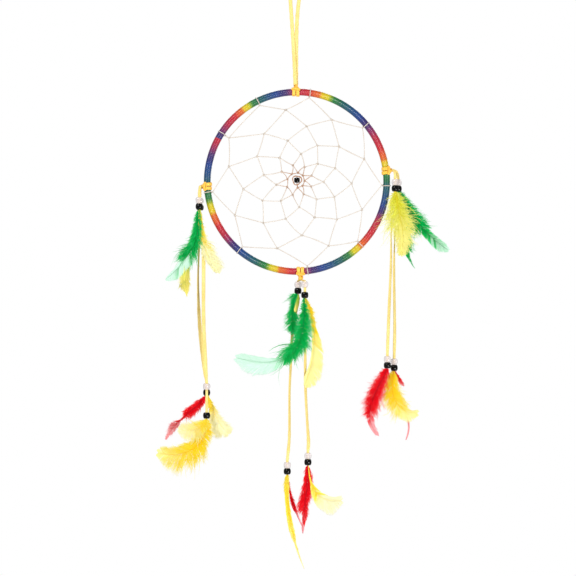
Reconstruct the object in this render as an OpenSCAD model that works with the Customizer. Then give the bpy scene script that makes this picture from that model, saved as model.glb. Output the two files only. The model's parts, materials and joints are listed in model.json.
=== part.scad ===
// Dream catcher: a yarn-wound hoop with a thread web, hung from a flat lace,
// with three folded-lace pendants of pony beads and feathers.
// Millimetres. The origin is the inside top of the hanging loop, the front faces -Y.

/* [Hoop] */
// Outer diameter of the wound hoop
hoop_d = 160; // [128:1:200]
// Thickness of the wound hoop
tube_d = 6; // [5:0.1:8]
// Thickness of the steel ring inside the winding
core_d = 3.4; // [2.5:0.1:4.2]

/* [Web] */
// Thickness of the web thread
thread_d = 0.7; // [0.5:0.05:1.2]
// Diameter of the bead in the middle of the web
web_bead_d = 5; // [4:0.1:6.5]
// Height of the bead in the middle of the web
web_bead_h = 4.4; // [3.5:0.1:5.5]
// Bore of the bead in the middle of the web
web_bead_bore = 1.6; // [1.4:0.1:2.4]

/* [Laces] */
// Width of the flat lace
lace_w = 3.2; // [2.6:0.1:3.8]
// Thickness of the flat lace
lace_t = 0.8; // [0.5:0.05:1]
// Height from the top of the hanging loop to the top of the hoop
loop_drop = 102; // [90:1:140]

/* [Beads] */
// Diameter of a pony bead
bead_d = 6.2; // [5.1:0.1:7.5]
// Height of a pony bead
bead_h = 5.2; // [4.2:0.1:6.4]
// Bore of a pony bead
bead_bore = 3.3; // [2.8:0.1:4]
// Gap between the beads in front of the hoop's plane and those behind it
strand_gap = 0.4; // [0.4:0.1:2.8]

/* [Feathers] */
// Thickness of a feather's vane
vane_t = 0.6; // [0.4:0.05:0.75]
// Thickness of a feather's quill
quill_d = 0.6; // [0.4:0.05:0.75]
// Size of every feather against its own outline
feather_scale = 1; // [0.8:0.01:1.04]

/* [Hidden] */

// Fits
snug = 0.05;            // between the steel ring and its winding, and a fixed knot and the winding
hinge_gap = 0.35;       // between the top knot and the winding, which turns in it
bead_gap = 0.1;         // between two beads that touch
lace_gap = 0.3;         // between a lace's end and the piece that it starts from

// Hoop
tube_r = tube_d / 2;
mid_r = hoop_d / 2 - tube_r;
hoop_z = -loop_drop - hoop_d / 2;
round_fn = 64;

// Knots: two bands of lace side by side round the tube, a bar across them and a neck
knot_len = 7.2;
knot_wall = 0.85;
band_t = 0.45;
band_w = 3.2;
bar_r = 1.1;
neck_w = 6;
neck_t = 2.6;
top_neck_h = tube_r + 2.4;
side_neck_h = tube_r + 1.5;
bottom_neck_h = tube_r + 2.4;
loop_x = -1;            // the hanging loop is tied this far to the side of the middle
left_clock = 267;
bottom_clock = 177.8;
right_clock = 83;

// Each pendant is placed from a point this far inside the hoop's outer edge, at the clockwise
// angle of its knot from the top
datum_in = 3;
function datum(clock) =
  let (r = hoop_d / 2 - datum_in)
  [r * sin(clock), 0, hoop_z + r * cos(clock)];
KNOT_LEFT = datum(left_clock);
KNOT_BOTTOM = datum(bottom_clock);
KNOT_RIGHT = datum(right_clock);

// Laces
lace_sides = 8;
bore_gap = 0.5;         // from each edge of a lace inside a bead to the bore's wall
bore_lace_w = bead_bore - 2 * bore_gap;
end_lace_w = 1.2;       // and to this width where a strand starts below a bead
lead_lace_w = 2.2;      // and to this width between a knot and a bead

// The hanging loop: [x, y, z] of the lace's middle, the width's direction and the width.
// It goes from the knot up the left, over the top, which is at the origin, and down the right.
LOOP_FOOT_Z = -loop_drop + top_neck_h - tube_r + lace_gap;
LOOP_RUN = [
  [[-2.2, -0.6, -81], [1, 0.1, 0]],
  [[-3.4, -0.3, -60], [1, 0, 0]],
  [[-4.6, 0, -42], [1, 0, 0]],
  [[-5.8, 0, -24], [1, 0.4, 0]],
  [[-6.5, 0, -13], [0.6, 1, 0]],
  [[-6.1, 0, -6.5], [0.2, 1, 0]],
  [[-4.3, 0, -1.6], [0, 1, 0]],
  [[0, 0, 0], [0, 1, 0]],
  [[4.6, 0, -1.6], [0, 1, 0]],
  [[6.1, 0, -6.5], [-0.2, 1, 0]],
  [[5, 0, -13], [-0.6, 1, 0]],
  [[2.2, 0, -24], [-1, 0.4, 0]],
  [[0.2, 0, -42], [-1, 0, 0]],
  [[-0.4, 0.3, -60], [-1, 0, 0]],
  [[-0.6, 0.6, -81], [-1, 0.1, 0]]
];
LOOP_STOPS = concat(
  [[[loop_x - 0.4, -0.6, LOOP_FOOT_Z], [1, 0, 0], lace_w]],
  [for (s = LOOP_RUN) [s[0] + [0, 0, lace_t / 2], s[1], lace_w]],
  [[[loop_x + 0.4, 0.6, LOOP_FOOT_Z], [-1, 0, 0], lace_w]]
);

// A strand is one run of a pendant's folded lace, in front of the hoop's plane (-1) or behind (1):
// [knot, side, lace stops from the knot [x, outward y, z], top of the upper beads from the knot
//  [x, z], gap between the upper beads, lace route [x, z] from the foot of the upper beads to the
//  top of the lower clear bead, gap between the lower beads]
LEFT_FRONT = [KNOT_LEFT, -1, [[-5.1, 0.7, 0.3], [-5.9, 1, 0.1], [-6.5, 1.8, -1.8], [-6.9, 2.8, -5.6]],
  [-6.9, -9.5], bead_gap,
  [[2.2, -16], [3.6, -34], [3.8, -94], [5.3, -129], [6.4, -149]], 19.6];
LEFT_BACK = [KNOT_LEFT, 1, [[-5.1, 0.7, 0.2], [-5.7, 1, 0], [-6.1, 1.8, -2], [-6.3, 2.8, -6]],
  [-6.3, -10], bead_gap,
  [[-1.2, -38], [-1.8, -64], [0, -104], [4, -138], [5.6, -148.6]], bead_gap];
BOTTOM_FRONT = [KNOT_BOTTOM, -1, [[1.2, 0.6, -7.4], [2.4, 1.8, -7.8], [3.4, 2.9, -8.2]],
  [3.7, -8.5], 4,
  [[0.4, -35], [0.6, -76], [2.4, -110], [3.2, -124], [2.7, -132.6]], bead_gap];
BOTTOM_BACK = [KNOT_BOTTOM, 1, [[-0.6, 0.6, -7.4], [-1.4, 1.8, -7.9], [-2, 2.9, -8.4]],
  [-2.1, -8.8], bead_gap,
  [[-3, -20], [-4.6, -31], [-5.9, -57], [-7.2, -83], [-7.5, -125], [-9.2, -144.6]], bead_gap];
RIGHT_FRONT = [KNOT_RIGHT, -1, [[5.1, 0.7, 0.3], [6.2, 1.1, 0.2], [7.2, 2, -1.2], [7.6, 2.9, -4]],
  [7.7, -7.4], bead_gap,
  [[-2, -15], [-3.4, -35], [-3.6, -60], [-5.6, -110], [-6.7, -141]], bead_gap];
RIGHT_BACK = [KNOT_RIGHT, 1, [[5.1, 0.7, 0.4], [6.8, 1.1, 0.4], [8.8, 1.9, -0.6], [10.2, 2.9, -3.6]],
  [10.6, -7.4], bead_gap,
  [[-2, -18], [-3.2, -45], [-3.6, -65], [-3, -120], [-3.5, -143.4]], bead_gap];

// Strands
strand_y = (bead_d + strand_gap) / 2;   // from the hoop's plane to each strand's middle

// Feathers
quill_grip = 3;         // a quill reaches this far up into its bead
quill_gap = 0.3;        // between a quill and the bore's wall, straight out from the lace
quill_in = bead_bore / 2 - quill_gap - quill_d / 2;   // from the lace's middle to a quill
vane_step = 1.05;       // between the planes of two feathers of one strand
vane_steps = 22;        // pieces that an outline's edge is drawn in

bead_rim = 0.8;         // a bead's flat end is this share of its diameter
rod_share = 0.8;        // a quill below its bead is this share of its thickness inside

// Ends of a strand's parts, in the hoop's plane [x, z]
function flat(p) = [p[0], p[2]];
function upper_top(s) = flat(s[0]) + s[3];
function upper_foot(s) = upper_top(s) - [0, 2 * bead_h + s[4]];
function lower_top(s) = upper_foot(s) + s[5][len(s[5]) - 1];
function lower_foot(s) = lower_top(s) - [0, 2 * bead_h + s[6]];
function on_strand(s, p) = [p[0], s[1] * strand_y, p[1]];

function unit(v) = v / norm(v);

// Corner directions of a flat lace's section: 8 sides, its flats as wide as the lace
function section() =
  [for (k = [0 : lace_sides - 1])
    let (a = (k + 0.5) * 360 / lace_sides)
    [cos(a), sin(a)] / cos(180 / lace_sides) / 2];

// The lace's ring of corners at stop i, with its width square to the run of the lace
function lace_ring(stops, i) =
  let (
    last = len(stops) - 1,
    along = unit(stops[min(i + 1, last)][0] - stops[max(i - 1, 0)][0]),
    wide = unit(stops[i][1] - (stops[i][1] * along) * along),
    deep = cross(along, wide)
  )
  [for (c = section()) stops[i][0] + c[0] * stops[i][2] * wide + c[1] * lace_t * deep];

// One flat lace through its stops, each [place, direction of its width, width]
module lace(stops) {
  n = lace_sides;
  rings = len(stops);
  polyhedron(
    points = [for (i = [0 : rings - 1]) each lace_ring(stops, i)],
    faces = concat(
      [[for (k = [0 : n - 1]) k]],
      [for (i = [0 : rings - 2], k = [0 : n - 1])
        let (a = i * n + k, b = i * n + (k + 1) % n)
        each [[a, a + n, b], [b, a + n, b + n]]],
      [[for (k = [n - 1 : -1 : 0]) (rings - 1) * n + k]]
    )
  );
}

// The short run of a strand from its knot through its two upper beads
module upper_lace(s) {
  across = [1, 0, 0];
  lead = [for (p = s[2])
    [s[0] + [p[0], s[1] * p[1], p[2]], p == s[2][0] ? [0, 0.3, 1] : across, lead_lace_w]];
  bottom_lead = [for (p = s[2]) [s[0] + [p[0], s[1] * p[1], p[2]], across, lead_lace_w]];
  lace(concat(
    s[0] == KNOT_BOTTOM ? bottom_lead : lead,
    [
      [on_strand(s, upper_top(s) + [0, 0.2]), across, bore_lace_w],
      [on_strand(s, upper_foot(s) + [0, lace_gap]), across, bore_lace_w]
    ]
  ));
}

// The long run of a strand, from below its upper beads to the foot of its lower black bead
module strand_lace(s) {
  across = [1, 0, 0];
  lace(concat(
    [
      [on_strand(s, upper_foot(s) - [0, 0.8]), across, end_lace_w],
      [on_strand(s, upper_foot(s) - [0, 4]), across, lace_w]
    ],
    [for (i = [0 : len(s[5]) - 2])
      [on_strand(s, upper_foot(s) + s[5][i]), across, lace_w]],
    [
      [on_strand(s, lower_top(s) + [0, 0.2]), across, bore_lace_w],
      [on_strand(s, lower_foot(s) + [0, lace_gap]), across, bore_lace_w]
    ]
  ));
}

// A barrel-shaped bead with its bore along Z, from its top down: a short drum with its ends
// rounded by a ball that passes through their rims
module barrel(d, h, bore) {
  rim_r = bead_rim * d / 2;
  translate([0, 0, -h / 2])
    difference() {
      intersection() {
        cylinder(h = h, d = d, center = true, $fn = round_fn);
        sphere(r = norm([h / 2, rim_r]), $fn = round_fn);
      }
      cylinder(h = h + 2, d = bore, center = true, $fn = round_fn);
    }
}

module pony_bead(s, top) {
  translate(on_strand(s, top)) barrel(bead_d, bead_h, bead_bore);
}

module upper_clear(s) { pony_bead(s, upper_top(s)); }
module upper_black(s) { pony_bead(s, upper_top(s) - [0, bead_h + s[4]]); }
module lower_clear(s) { pony_bead(s, lower_top(s)); }
module lower_black(s) { pony_bead(s, lower_top(s) - [0, bead_h + s[6]]); }

// A round rod from a to b
module rod(a, b, d) {
  v = b - a;
  translate(a)
    rotate([0, acos(v[2] / norm(v)), atan2(v[1], v[0])])
      cylinder(h = norm(v), d = d, $fn = 16);
}

// A point of a feather's spine, which starts straight down from its bead
function spine_point(spine, t) =
  3 * (1 - t) * (1 - t) * t * spine[0] + 3 * (1 - t) * t * t * spine[1] + t * t * t * spine[2];
function spine_side(spine, t) =
  let (v = unit(spine_point(spine, min(t + 0.01, 1)) - spine_point(spine, max(t - 0.01, 0))))
  [v[1], -v[0]];
// The vane's half width at t: narrow at the quill, full past the middle, round at the tip
function vane_half(half, t) =
  quill_d / 2 + half * pow(sin(180 * pow(t, 1.15)), 0.8);

// A feather hung from bead foot [x, z]. layer counts its plane out from the strand's lace
// (negative is towards the hoop's plane), root_x is its quill's place in the bore, and spine
// gives the last three control points of the curve that its rachis follows.
module feather(s, foot, layer, root_x, spine, half) {
  out = s[1] * sign(layer);
  root_y = s[1] * strand_y + out * quill_in;
  vane_y = s[1] * strand_y + out * (quill_in + (abs(layer) - 1) * vane_step);
  root = [foot[0] + root_x, foot[1]];
  sized = [for (p = spine) p * feather_scale];
  first = 0.09;
  ts = [for (i = [0 : vane_steps]) first + (1 - first) * i / vane_steps];
  joint_at = root + spine_point(sized, first + 0.04);
  edge_a = [for (t = ts) root + spine_point(sized, t)
    + vane_half(half * feather_scale, t) * spine_side(sized, t)];
  edge_b = [for (i = [vane_steps : -1 : 0]) root + spine_point(sized, ts[i])
    - vane_half(half * feather_scale, ts[i]) * spine_side(sized, ts[i])];
  drop = 0.2;
  union() {
    translate([root[0], root_y, root[1] - drop]) cylinder(h = quill_grip + drop, d = quill_d, $fn = 16);
    rod([root[0], root_y, root[1] - drop / 2], [joint_at[0], vane_y, joint_at[1]],
      rod_share * quill_d);
    translate([0, vane_y, 0])
      rotate([90, 0, 0])
        linear_extrude(vane_t, center = true)
          polygon(concat(edge_a, edge_b));
  }
}

// A cow hitch round the tube, at a clockwise angle from the top
module hitch(clock, at_x, bore_r, neck_h) {
  outer = tube_r + knot_wall;
  translate([at_x, 0, hoop_z])
    rotate([0, clock, 0])
      translate([0, 0, mid_r])
        difference() {
          union() {
            rotate([0, 90, 0]) cylinder(h = knot_len, r = outer, center = true, $fn = round_fn);
            for (side = [-1, 1])
              translate([side * (band_w + 0.5) / 2, 0, 0])
                rotate([0, 90, 0])
                  cylinder(h = band_w, r = outer + band_t, center = true, $fn = round_fn);
            translate([0, -outer - bar_r / 3, 0])
              rotate([0, 90, 0]) cylinder(h = knot_len - 1, r = bar_r, center = true, $fn = 24);
            translate([0, 0, neck_h / 2])
              cube([neck_w, neck_t, neck_h], center = true);
          }
          rotate([0, 90, 0])
            cylinder(h = knot_len + 4, r = bore_r, center = true, $fn = round_fn);
        }
}

// The web: the thread is hitched to the hoop at these clock angles, then round after round to
// the middle of each stretch of its own last round, which it pulls inwards into two
WEB_CLOCK = [302.7, 333.9, 368.2, 410.5, 452.4, 494.4, 533, 579.9, 623];
WEB_PULL = [0.895, 0.825, 0.79, 0.71, 0.61, 0.53];
round_hitches = 8;
hitch_in = 1.2;         // an anchor's hitch stands this far inside the hoop
start_in = 4.5;         // and the first one this far
web_middle = [0, 1.3];
eye_r = 4.7;            // the thread's last round, about the bead
anchor_r = tube_r + thread_d / 2 + snug;

function anchor_point(i) =
  let (r = mid_r - tube_r - (i == 0 ? start_in : hitch_in))
  r * [sin(WEB_CLOCK[i]), cos(WEB_CLOCK[i])];
WEB_START = [for (i = [0 : 9]) anchor_point(i % 9)];
last_hitch = 9 + round_hitches * len(WEB_PULL);
function woven(points) =
  len(points) > last_hitch ? points :
  let (
    n = len(points),
    pull = WEB_PULL[floor((n - 10) / round_hitches)],
    middle = (points[n - 9] + points[n - 8]) / 2
  )
  woven(concat(points, [web_middle + pull * (middle - web_middle)]));
WEB = woven(WEB_START);

function web_place(p) = [p[0], 0, hoop_z + p[1]];

module thread_run(a, b) {
  hull() {
    translate(web_place(a)) sphere(d = thread_d, $fn = 6);
    translate(web_place(b)) sphere(d = thread_d, $fn = 6);
  }
}

// Frame pieces
module hanging_loop() { color("gold") lace(LOOP_STOPS); }

module top_knot() {
  color("goldenrod") hitch(0, loop_x, tube_r + hinge_gap, top_neck_h);
}

module ring_core() {
  color("silver")
    translate([0, 0, hoop_z]) rotate([90, 0, 0])
      rotate_extrude($fn = 128) translate([mid_r, 0]) circle(d = core_d, $fn = 32);
}

module ring_wrapping() {
  color("royalblue")
    translate([0, 0, hoop_z]) rotate([90, 0, 0])
      rotate_extrude($fn = 128) translate([mid_r, 0])
        difference() {
          circle(r = tube_r, $fn = 48);
          circle(r = core_d / 2 + snug, $fn = 48);
        }
}

module web_thread() {
  color("tan") {
    thread_run(WEB[0], WEB[1]);
    for (n = [10 : last_hitch], back = [9, 8]) thread_run(WEB[n], WEB[n - back]);
    for (n = [last_hitch - round_hitches : last_hitch - 1]) thread_run(WEB[n], WEB[n + 1]);
    for (i = [0 : 8])
      thread_run(WEB[i], (mid_r - anchor_r) * unit(WEB[i]));
    for (i = [0 : 8])
      translate([0, 0, hoop_z]) rotate([0, WEB_CLOCK[i], 0]) translate([0, 0, mid_r])
        rotate([0, 90, 0])
          rotate_extrude($fn = 20) translate([anchor_r, 0]) circle(d = thread_d, $fn = 6);
    translate(web_place(web_middle)) rotate([90, 0, 0])
      rotate_extrude($fn = 24) translate([eye_r, 0]) circle(d = thread_d, $fn = 6);
    thread_run(web_middle + [0, eye_r], web_middle - [0, eye_r]);
    thread_run(WEB[last_hitch], web_middle + eye_r * unit(WEB[last_hitch] - web_middle));
  }
}

module web_bead() {
  color("black")
    translate(web_place(web_middle) + [0, 0, web_bead_h / 2])
      barrel(web_bead_d, web_bead_h, web_bead_bore);
}

module left_knot() { color("goldenrod") hitch(left_clock, 0, tube_r + snug + 0.05, side_neck_h); }
module bottom_knot() {
  color("goldenrod") hitch(bottom_clock, 0, tube_r + snug + 0.05, bottom_neck_h);
}
module right_knot() { color("goldenrod") hitch(right_clock, 0, tube_r + snug + 0.05, side_neck_h); }

// Left pendant, above its strands
module left_upper_laces() { color("gold") { upper_lace(LEFT_FRONT); upper_lace(LEFT_BACK); } }
module left_upper_clear_beads() {
  color("mistyrose") { upper_clear(LEFT_FRONT); upper_clear(LEFT_BACK); }
}
module left_upper_black_beads() {
  color("black") { upper_black(LEFT_FRONT); upper_black(LEFT_BACK); }
}
module left_green_feather() {
  color("mediumseagreen")
    feather(LEFT_FRONT, upper_foot(LEFT_FRONT), 2, -0.45, [[-4, -22], [-8, -45], [-28, -60]], 6);
}
module left_two_colour_feather() {
  color("yellowgreen")
    feather(LEFT_BACK, upper_foot(LEFT_BACK), 1, -0.45, [[-4, -25], [-10, -50], [-11, -74]], 4.2);
}
module left_yellow_feather() {
  color("khaki")
    feather(LEFT_FRONT, upper_foot(LEFT_FRONT), 1, 0.45, [[2, -18], [4, -38], [19, -52]], 6.4);
}

// Bottom pendant, above its strands
module bottom_upper_laces() {
  color("gold") { upper_lace(BOTTOM_FRONT); upper_lace(BOTTOM_BACK); }
}
module bottom_upper_clear_beads() {
  color("mistyrose") { upper_clear(BOTTOM_FRONT); upper_clear(BOTTOM_BACK); }
}
module bottom_upper_front_black_bead() { color("black") upper_black(BOTTOM_FRONT); }
module bottom_upper_back_black_bead() { color("black") upper_black(BOTTOM_BACK); }
module bottom_green_feather() {
  color("mediumseagreen")
    feather(BOTTOM_FRONT, upper_foot(BOTTOM_FRONT), 2, -0.45,
      [[2, -40], [-14, -76], [-58, -50]], 6.6);
}
module bottom_green_tuft() {
  color("mediumseagreen")
    feather(BOTTOM_BACK, upper_foot(BOTTOM_BACK), -1, -0.45, [[-5, -8], [-6, -20], [-5, -34]], 3.8);
}
module bottom_small_feather() {
  color("yellowgreen")
    feather(BOTTOM_BACK, upper_foot(BOTTOM_BACK), -2, 0.45, [[0, -6], [-2, -12], [-2.5, -19]], 1.8);
}
module bottom_yellow_feather() {
  color("khaki")
    feather(BOTTOM_FRONT, upper_foot(BOTTOM_FRONT), 1, 0.45,
      [[9, -18], [11, -50], [-1, -75]], 5.4);
}

// Right pendant, above its strands
module right_upper_laces() { color("gold") { upper_lace(RIGHT_FRONT); upper_lace(RIGHT_BACK); } }
module right_upper_clear_beads() {
  color("mistyrose") { upper_clear(RIGHT_FRONT); upper_clear(RIGHT_BACK); }
}
module right_upper_black_beads() {
  color("black") { upper_black(RIGHT_FRONT); upper_black(RIGHT_BACK); }
}
module right_yellow_feather() {
  color("khaki")
    feather(RIGHT_FRONT, upper_foot(RIGHT_FRONT), 2, 0.45, [[2, -17], [9, -36], [8, -53]], 7);
}
module right_yellow_wisp() {
  color("khaki")
    feather(RIGHT_FRONT, upper_foot(RIGHT_FRONT), 1, -0.45, [[-1, -8], [-3.5, -17], [-5, -27]], 1.8);
}
module right_green_feather() {
  color("mediumseagreen")
    feather(RIGHT_BACK, upper_foot(RIGHT_BACK), 1, 0.45, [[8, -12], [20, -32], [43, -50]], 5.4);
}
module right_green_wisp() {
  color("mediumseagreen")
    feather(RIGHT_BACK, upper_foot(RIGHT_BACK), 2, -0.45, [[4, -24], [6, -48], [17, -70]], 3.4);
}

// Left pendant's front strand, with its two lower beads apart
module left_front_lace() { color("gold") strand_lace(LEFT_FRONT); }
module left_front_clear_bead() { color("mistyrose") lower_clear(LEFT_FRONT); }
module left_front_black_bead() { color("black") lower_black(LEFT_FRONT); }
module left_front_yellow_feather() {
  color("khaki")
    feather(LEFT_FRONT, lower_foot(LEFT_FRONT), 1, -0.45, [[0, -18], [-12, -30], [-41, -29]], 7.6);
}
module left_front_curled_feather() {
  color("khaki")
    feather(LEFT_FRONT, lower_foot(LEFT_FRONT), 2, 0.45, [[-3, -9], [-12, -12], [-20, 0]], 3.6);
}

// Left pendant's back strand
module left_back_lace() { color("gold") strand_lace(LEFT_BACK); }
module left_back_clear_bead() { color("mistyrose") lower_clear(LEFT_BACK); }
module left_back_black_bead() { color("black") lower_black(LEFT_BACK); }
module left_back_red_feather() {
  color("crimson")
    feather(LEFT_BACK, lower_foot(LEFT_BACK), 1, -0.45, [[-8, -12], [-24, -18], [-35, -38]], 4.6);
}
module left_back_yellow_feather() {
  color("khaki")
    feather(LEFT_BACK, lower_foot(LEFT_BACK), 2, 0.45, [[7, -10], [9, -26], [19, -36]], 6.6);
}

// Bottom pendant's front strand
module bottom_front_lace() { color("gold") strand_lace(BOTTOM_FRONT); }
module bottom_front_clear_bead() { color("mistyrose") lower_clear(BOTTOM_FRONT); }
module bottom_front_black_bead() { color("black") lower_black(BOTTOM_FRONT); }
module bottom_front_red_feather() {
  color("crimson")
    feather(BOTTOM_FRONT, lower_foot(BOTTOM_FRONT), 1, -0.45, [[0, -18], [-7, -38], [-4, -58]], 5.4);
}
module bottom_front_spoon_feather() {
  color("khaki")
    feather(BOTTOM_FRONT, lower_foot(BOTTOM_FRONT), 2, 0.45, [[2, -18], [7, -33], [28, -30]], 5);
}

// Bottom pendant's back strand
module bottom_back_lace() { color("gold") strand_lace(BOTTOM_BACK); }
module bottom_back_clear_bead() { color("mistyrose") lower_clear(BOTTOM_BACK); }
module bottom_back_black_bead() { color("black") lower_black(BOTTOM_BACK); }
module bottom_back_yellow_feather() {
  color("khaki")
    feather(BOTTOM_BACK, lower_foot(BOTTOM_BACK), -1, -0.45, [[-1, -27], [4, -54], [15, -81]], 3);
}
module bottom_back_red_feather() {
  color("crimson")
    feather(BOTTOM_BACK, lower_foot(BOTTOM_BACK), 1, 0.45, [[1, -16], [5, -32], [14, -48]], 2);
}

// Right pendant's front strand
module right_front_lace() { color("gold") strand_lace(RIGHT_FRONT); }
module right_front_clear_bead() { color("mistyrose") lower_clear(RIGHT_FRONT); }
module right_front_black_bead() { color("black") lower_black(RIGHT_FRONT); }
module right_front_red_feather() {
  color("crimson")
    feather(RIGHT_FRONT, lower_foot(RIGHT_FRONT), 1, -0.45,
      [[-10, -12], [-25, -38], [-9, -57]], 5);
}
module right_front_red_wisp() {
  color("crimson")
    feather(RIGHT_FRONT, lower_foot(RIGHT_FRONT), -1, 0.45, [[3, -20], [11, -42], [18, -63]], 2.6);
}

// Right pendant's back strand
module right_back_lace() { color("gold") strand_lace(RIGHT_BACK); }
module right_back_clear_bead() { color("mistyrose") lower_clear(RIGHT_BACK); }
module right_back_black_bead() { color("black") lower_black(RIGHT_BACK); }
module right_back_yellow_feather() {
  color("khaki")
    feather(RIGHT_BACK, lower_foot(RIGHT_BACK), -1, -0.45, [[-3, -16], [-2, -36], [20, -36]], 6.6);
}
module right_back_red_feather() {
  color("crimson")
    feather(RIGHT_BACK, lower_foot(RIGHT_BACK), 1, 0.45, [[2, -4], [4, -8], [8, -13]], 1.6);
}

hanging_loop();
top_knot();
ring_core();
ring_wrapping();
web_thread();
web_bead();
left_knot();
bottom_knot();
right_knot();
left_upper_laces();
left_upper_clear_beads();
left_upper_black_beads();
left_green_feather();
left_two_colour_feather();
left_yellow_feather();
bottom_upper_laces();
bottom_upper_clear_beads();
bottom_upper_front_black_bead();
bottom_upper_back_black_bead();
bottom_green_feather();
bottom_green_tuft();
bottom_small_feather();
bottom_yellow_feather();
right_upper_laces();
right_upper_clear_beads();
right_upper_black_beads();
right_yellow_feather();
right_yellow_wisp();
right_green_feather();
right_green_wisp();
left_front_lace();
left_front_clear_bead();
left_front_black_bead();
left_front_yellow_feather();
left_front_curled_feather();
left_back_lace();
left_back_clear_bead();
left_back_black_bead();
left_back_red_feather();
left_back_yellow_feather();
bottom_front_lace();
bottom_front_clear_bead();
bottom_front_black_bead();
bottom_front_red_feather();
bottom_front_spoon_feather();
bottom_back_lace();
bottom_back_clear_bead();
bottom_back_black_bead();
bottom_back_yellow_feather();
bottom_back_red_feather();
right_front_lace();
right_front_clear_bead();
right_front_black_bead();
right_front_red_feather();
right_front_red_wisp();
right_back_lace();
right_back_clear_bead();
right_back_black_bead();
right_back_yellow_feather();
right_back_red_feather();
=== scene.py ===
"""Dream catcher: every visible piece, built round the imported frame.

Metres, +Z up, the front faces -Y, and the origin is the inside top of the hanging loop.
Each sub-assembly is a class that makes its own meshes, dresses them and hangs them on the
frame's bodies; each finish is a small frozen dataclass that makes one material.
"""

from __future__ import annotations

import json
import logging
import math
from dataclasses import dataclass, field
from enum import Enum, IntEnum

import bpy
import numpy as np
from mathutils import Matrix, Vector

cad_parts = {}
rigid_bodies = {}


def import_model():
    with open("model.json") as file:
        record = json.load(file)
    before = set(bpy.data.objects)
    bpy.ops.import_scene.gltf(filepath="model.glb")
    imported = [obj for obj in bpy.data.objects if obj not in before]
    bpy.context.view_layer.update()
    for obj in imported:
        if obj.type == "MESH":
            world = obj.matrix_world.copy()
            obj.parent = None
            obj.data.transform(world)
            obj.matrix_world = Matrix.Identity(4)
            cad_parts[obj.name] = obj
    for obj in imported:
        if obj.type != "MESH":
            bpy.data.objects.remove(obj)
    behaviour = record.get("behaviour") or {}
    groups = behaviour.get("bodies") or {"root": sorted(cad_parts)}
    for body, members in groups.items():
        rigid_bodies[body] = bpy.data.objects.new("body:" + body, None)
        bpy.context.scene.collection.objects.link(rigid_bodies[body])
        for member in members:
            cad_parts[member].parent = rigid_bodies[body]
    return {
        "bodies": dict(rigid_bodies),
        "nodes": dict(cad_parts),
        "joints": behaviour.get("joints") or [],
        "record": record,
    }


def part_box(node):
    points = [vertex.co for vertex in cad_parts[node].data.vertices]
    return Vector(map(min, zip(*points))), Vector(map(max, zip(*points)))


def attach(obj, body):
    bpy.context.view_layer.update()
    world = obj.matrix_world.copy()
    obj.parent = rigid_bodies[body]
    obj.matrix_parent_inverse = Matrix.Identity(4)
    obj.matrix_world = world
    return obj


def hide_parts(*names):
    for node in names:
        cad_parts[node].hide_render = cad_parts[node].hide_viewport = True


LOG = logging.getLogger("dream_catcher")
MM = 0.001
TAU = 2 * math.pi
Colour = tuple[int, int, int]
ACROSS = np.array([1.0, 0.0, 0.0])
BACK = np.array([0.0, 1.0, 0.0])
UP = np.array([0.0, 0.0, 1.0])

# Where each pendant is tied to the hoop, in degrees clockwise from the top
LEFT_CLOCK, BOTTOM_CLOCK, RIGHT_CLOCK = 267.0, 177.8, 83.0


# ---------------------------------------------------------------- shader wiring


def linear(colour: Colour, alpha: float = 1.0) -> tuple[float, float, float, float]:
    """Turns a display colour into the renderer's own.

    Args:
        colour: red, green and blue, each from 0 to 255.
        alpha: the opacity to put beside them.

    Returns:
        Red, green and blue on the linear scale, and the opacity.
    """
    shares = [c / 255 for c in colour]
    r, g, b = (s / 12.92 if s <= 0.04045 else ((s + 0.055) / 1.055) ** 2.4 for s in shares)
    return (r, g, b, alpha)


class Wire:
    """A node's output socket, on which Python arithmetic adds Math nodes."""

    def __init__(self, graph: Graph, socket: bpy.types.NodeSocket) -> None:
        """Keeps the graph that the socket is in, and the socket."""
        self.graph = graph
        self.socket = socket

    def _math(self, operation: str, first: object, second: object) -> Wire:
        """Adds one Math node.

        Args:
            operation: the node's operation.
            first: its first value, a number or a wire.
            second: its second value, a number or a wire.

        Returns:
            The node's result.
        """
        made = self.graph.node("ShaderNodeMath", {"operation": operation}, {0: first, 1: second})
        return made["Value"]

    def __add__(self, other: object) -> Wire:
        """self + other."""
        return self._math("ADD", self, other)

    __radd__ = __add__

    def __sub__(self, other: object) -> Wire:
        """self - other."""
        return self._math("SUBTRACT", self, other)

    def __rsub__(self, other: object) -> Wire:
        """other - self."""
        return self._math("SUBTRACT", other, self)

    def __mul__(self, other: object) -> Wire:
        """self * other."""
        return self._math("MULTIPLY", self, other)

    __rmul__ = __mul__


class Made:
    """A node just added, whose outputs are read as wires."""

    def __init__(self, graph: Graph, node: bpy.types.Node) -> None:
        """Keeps the graph and its node."""
        self.graph = graph
        self.node = node

    def __getitem__(self, name: str | int) -> Wire:
        """The output of that name or number."""
        return Wire(self.graph, self.node.outputs[name])


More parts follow.
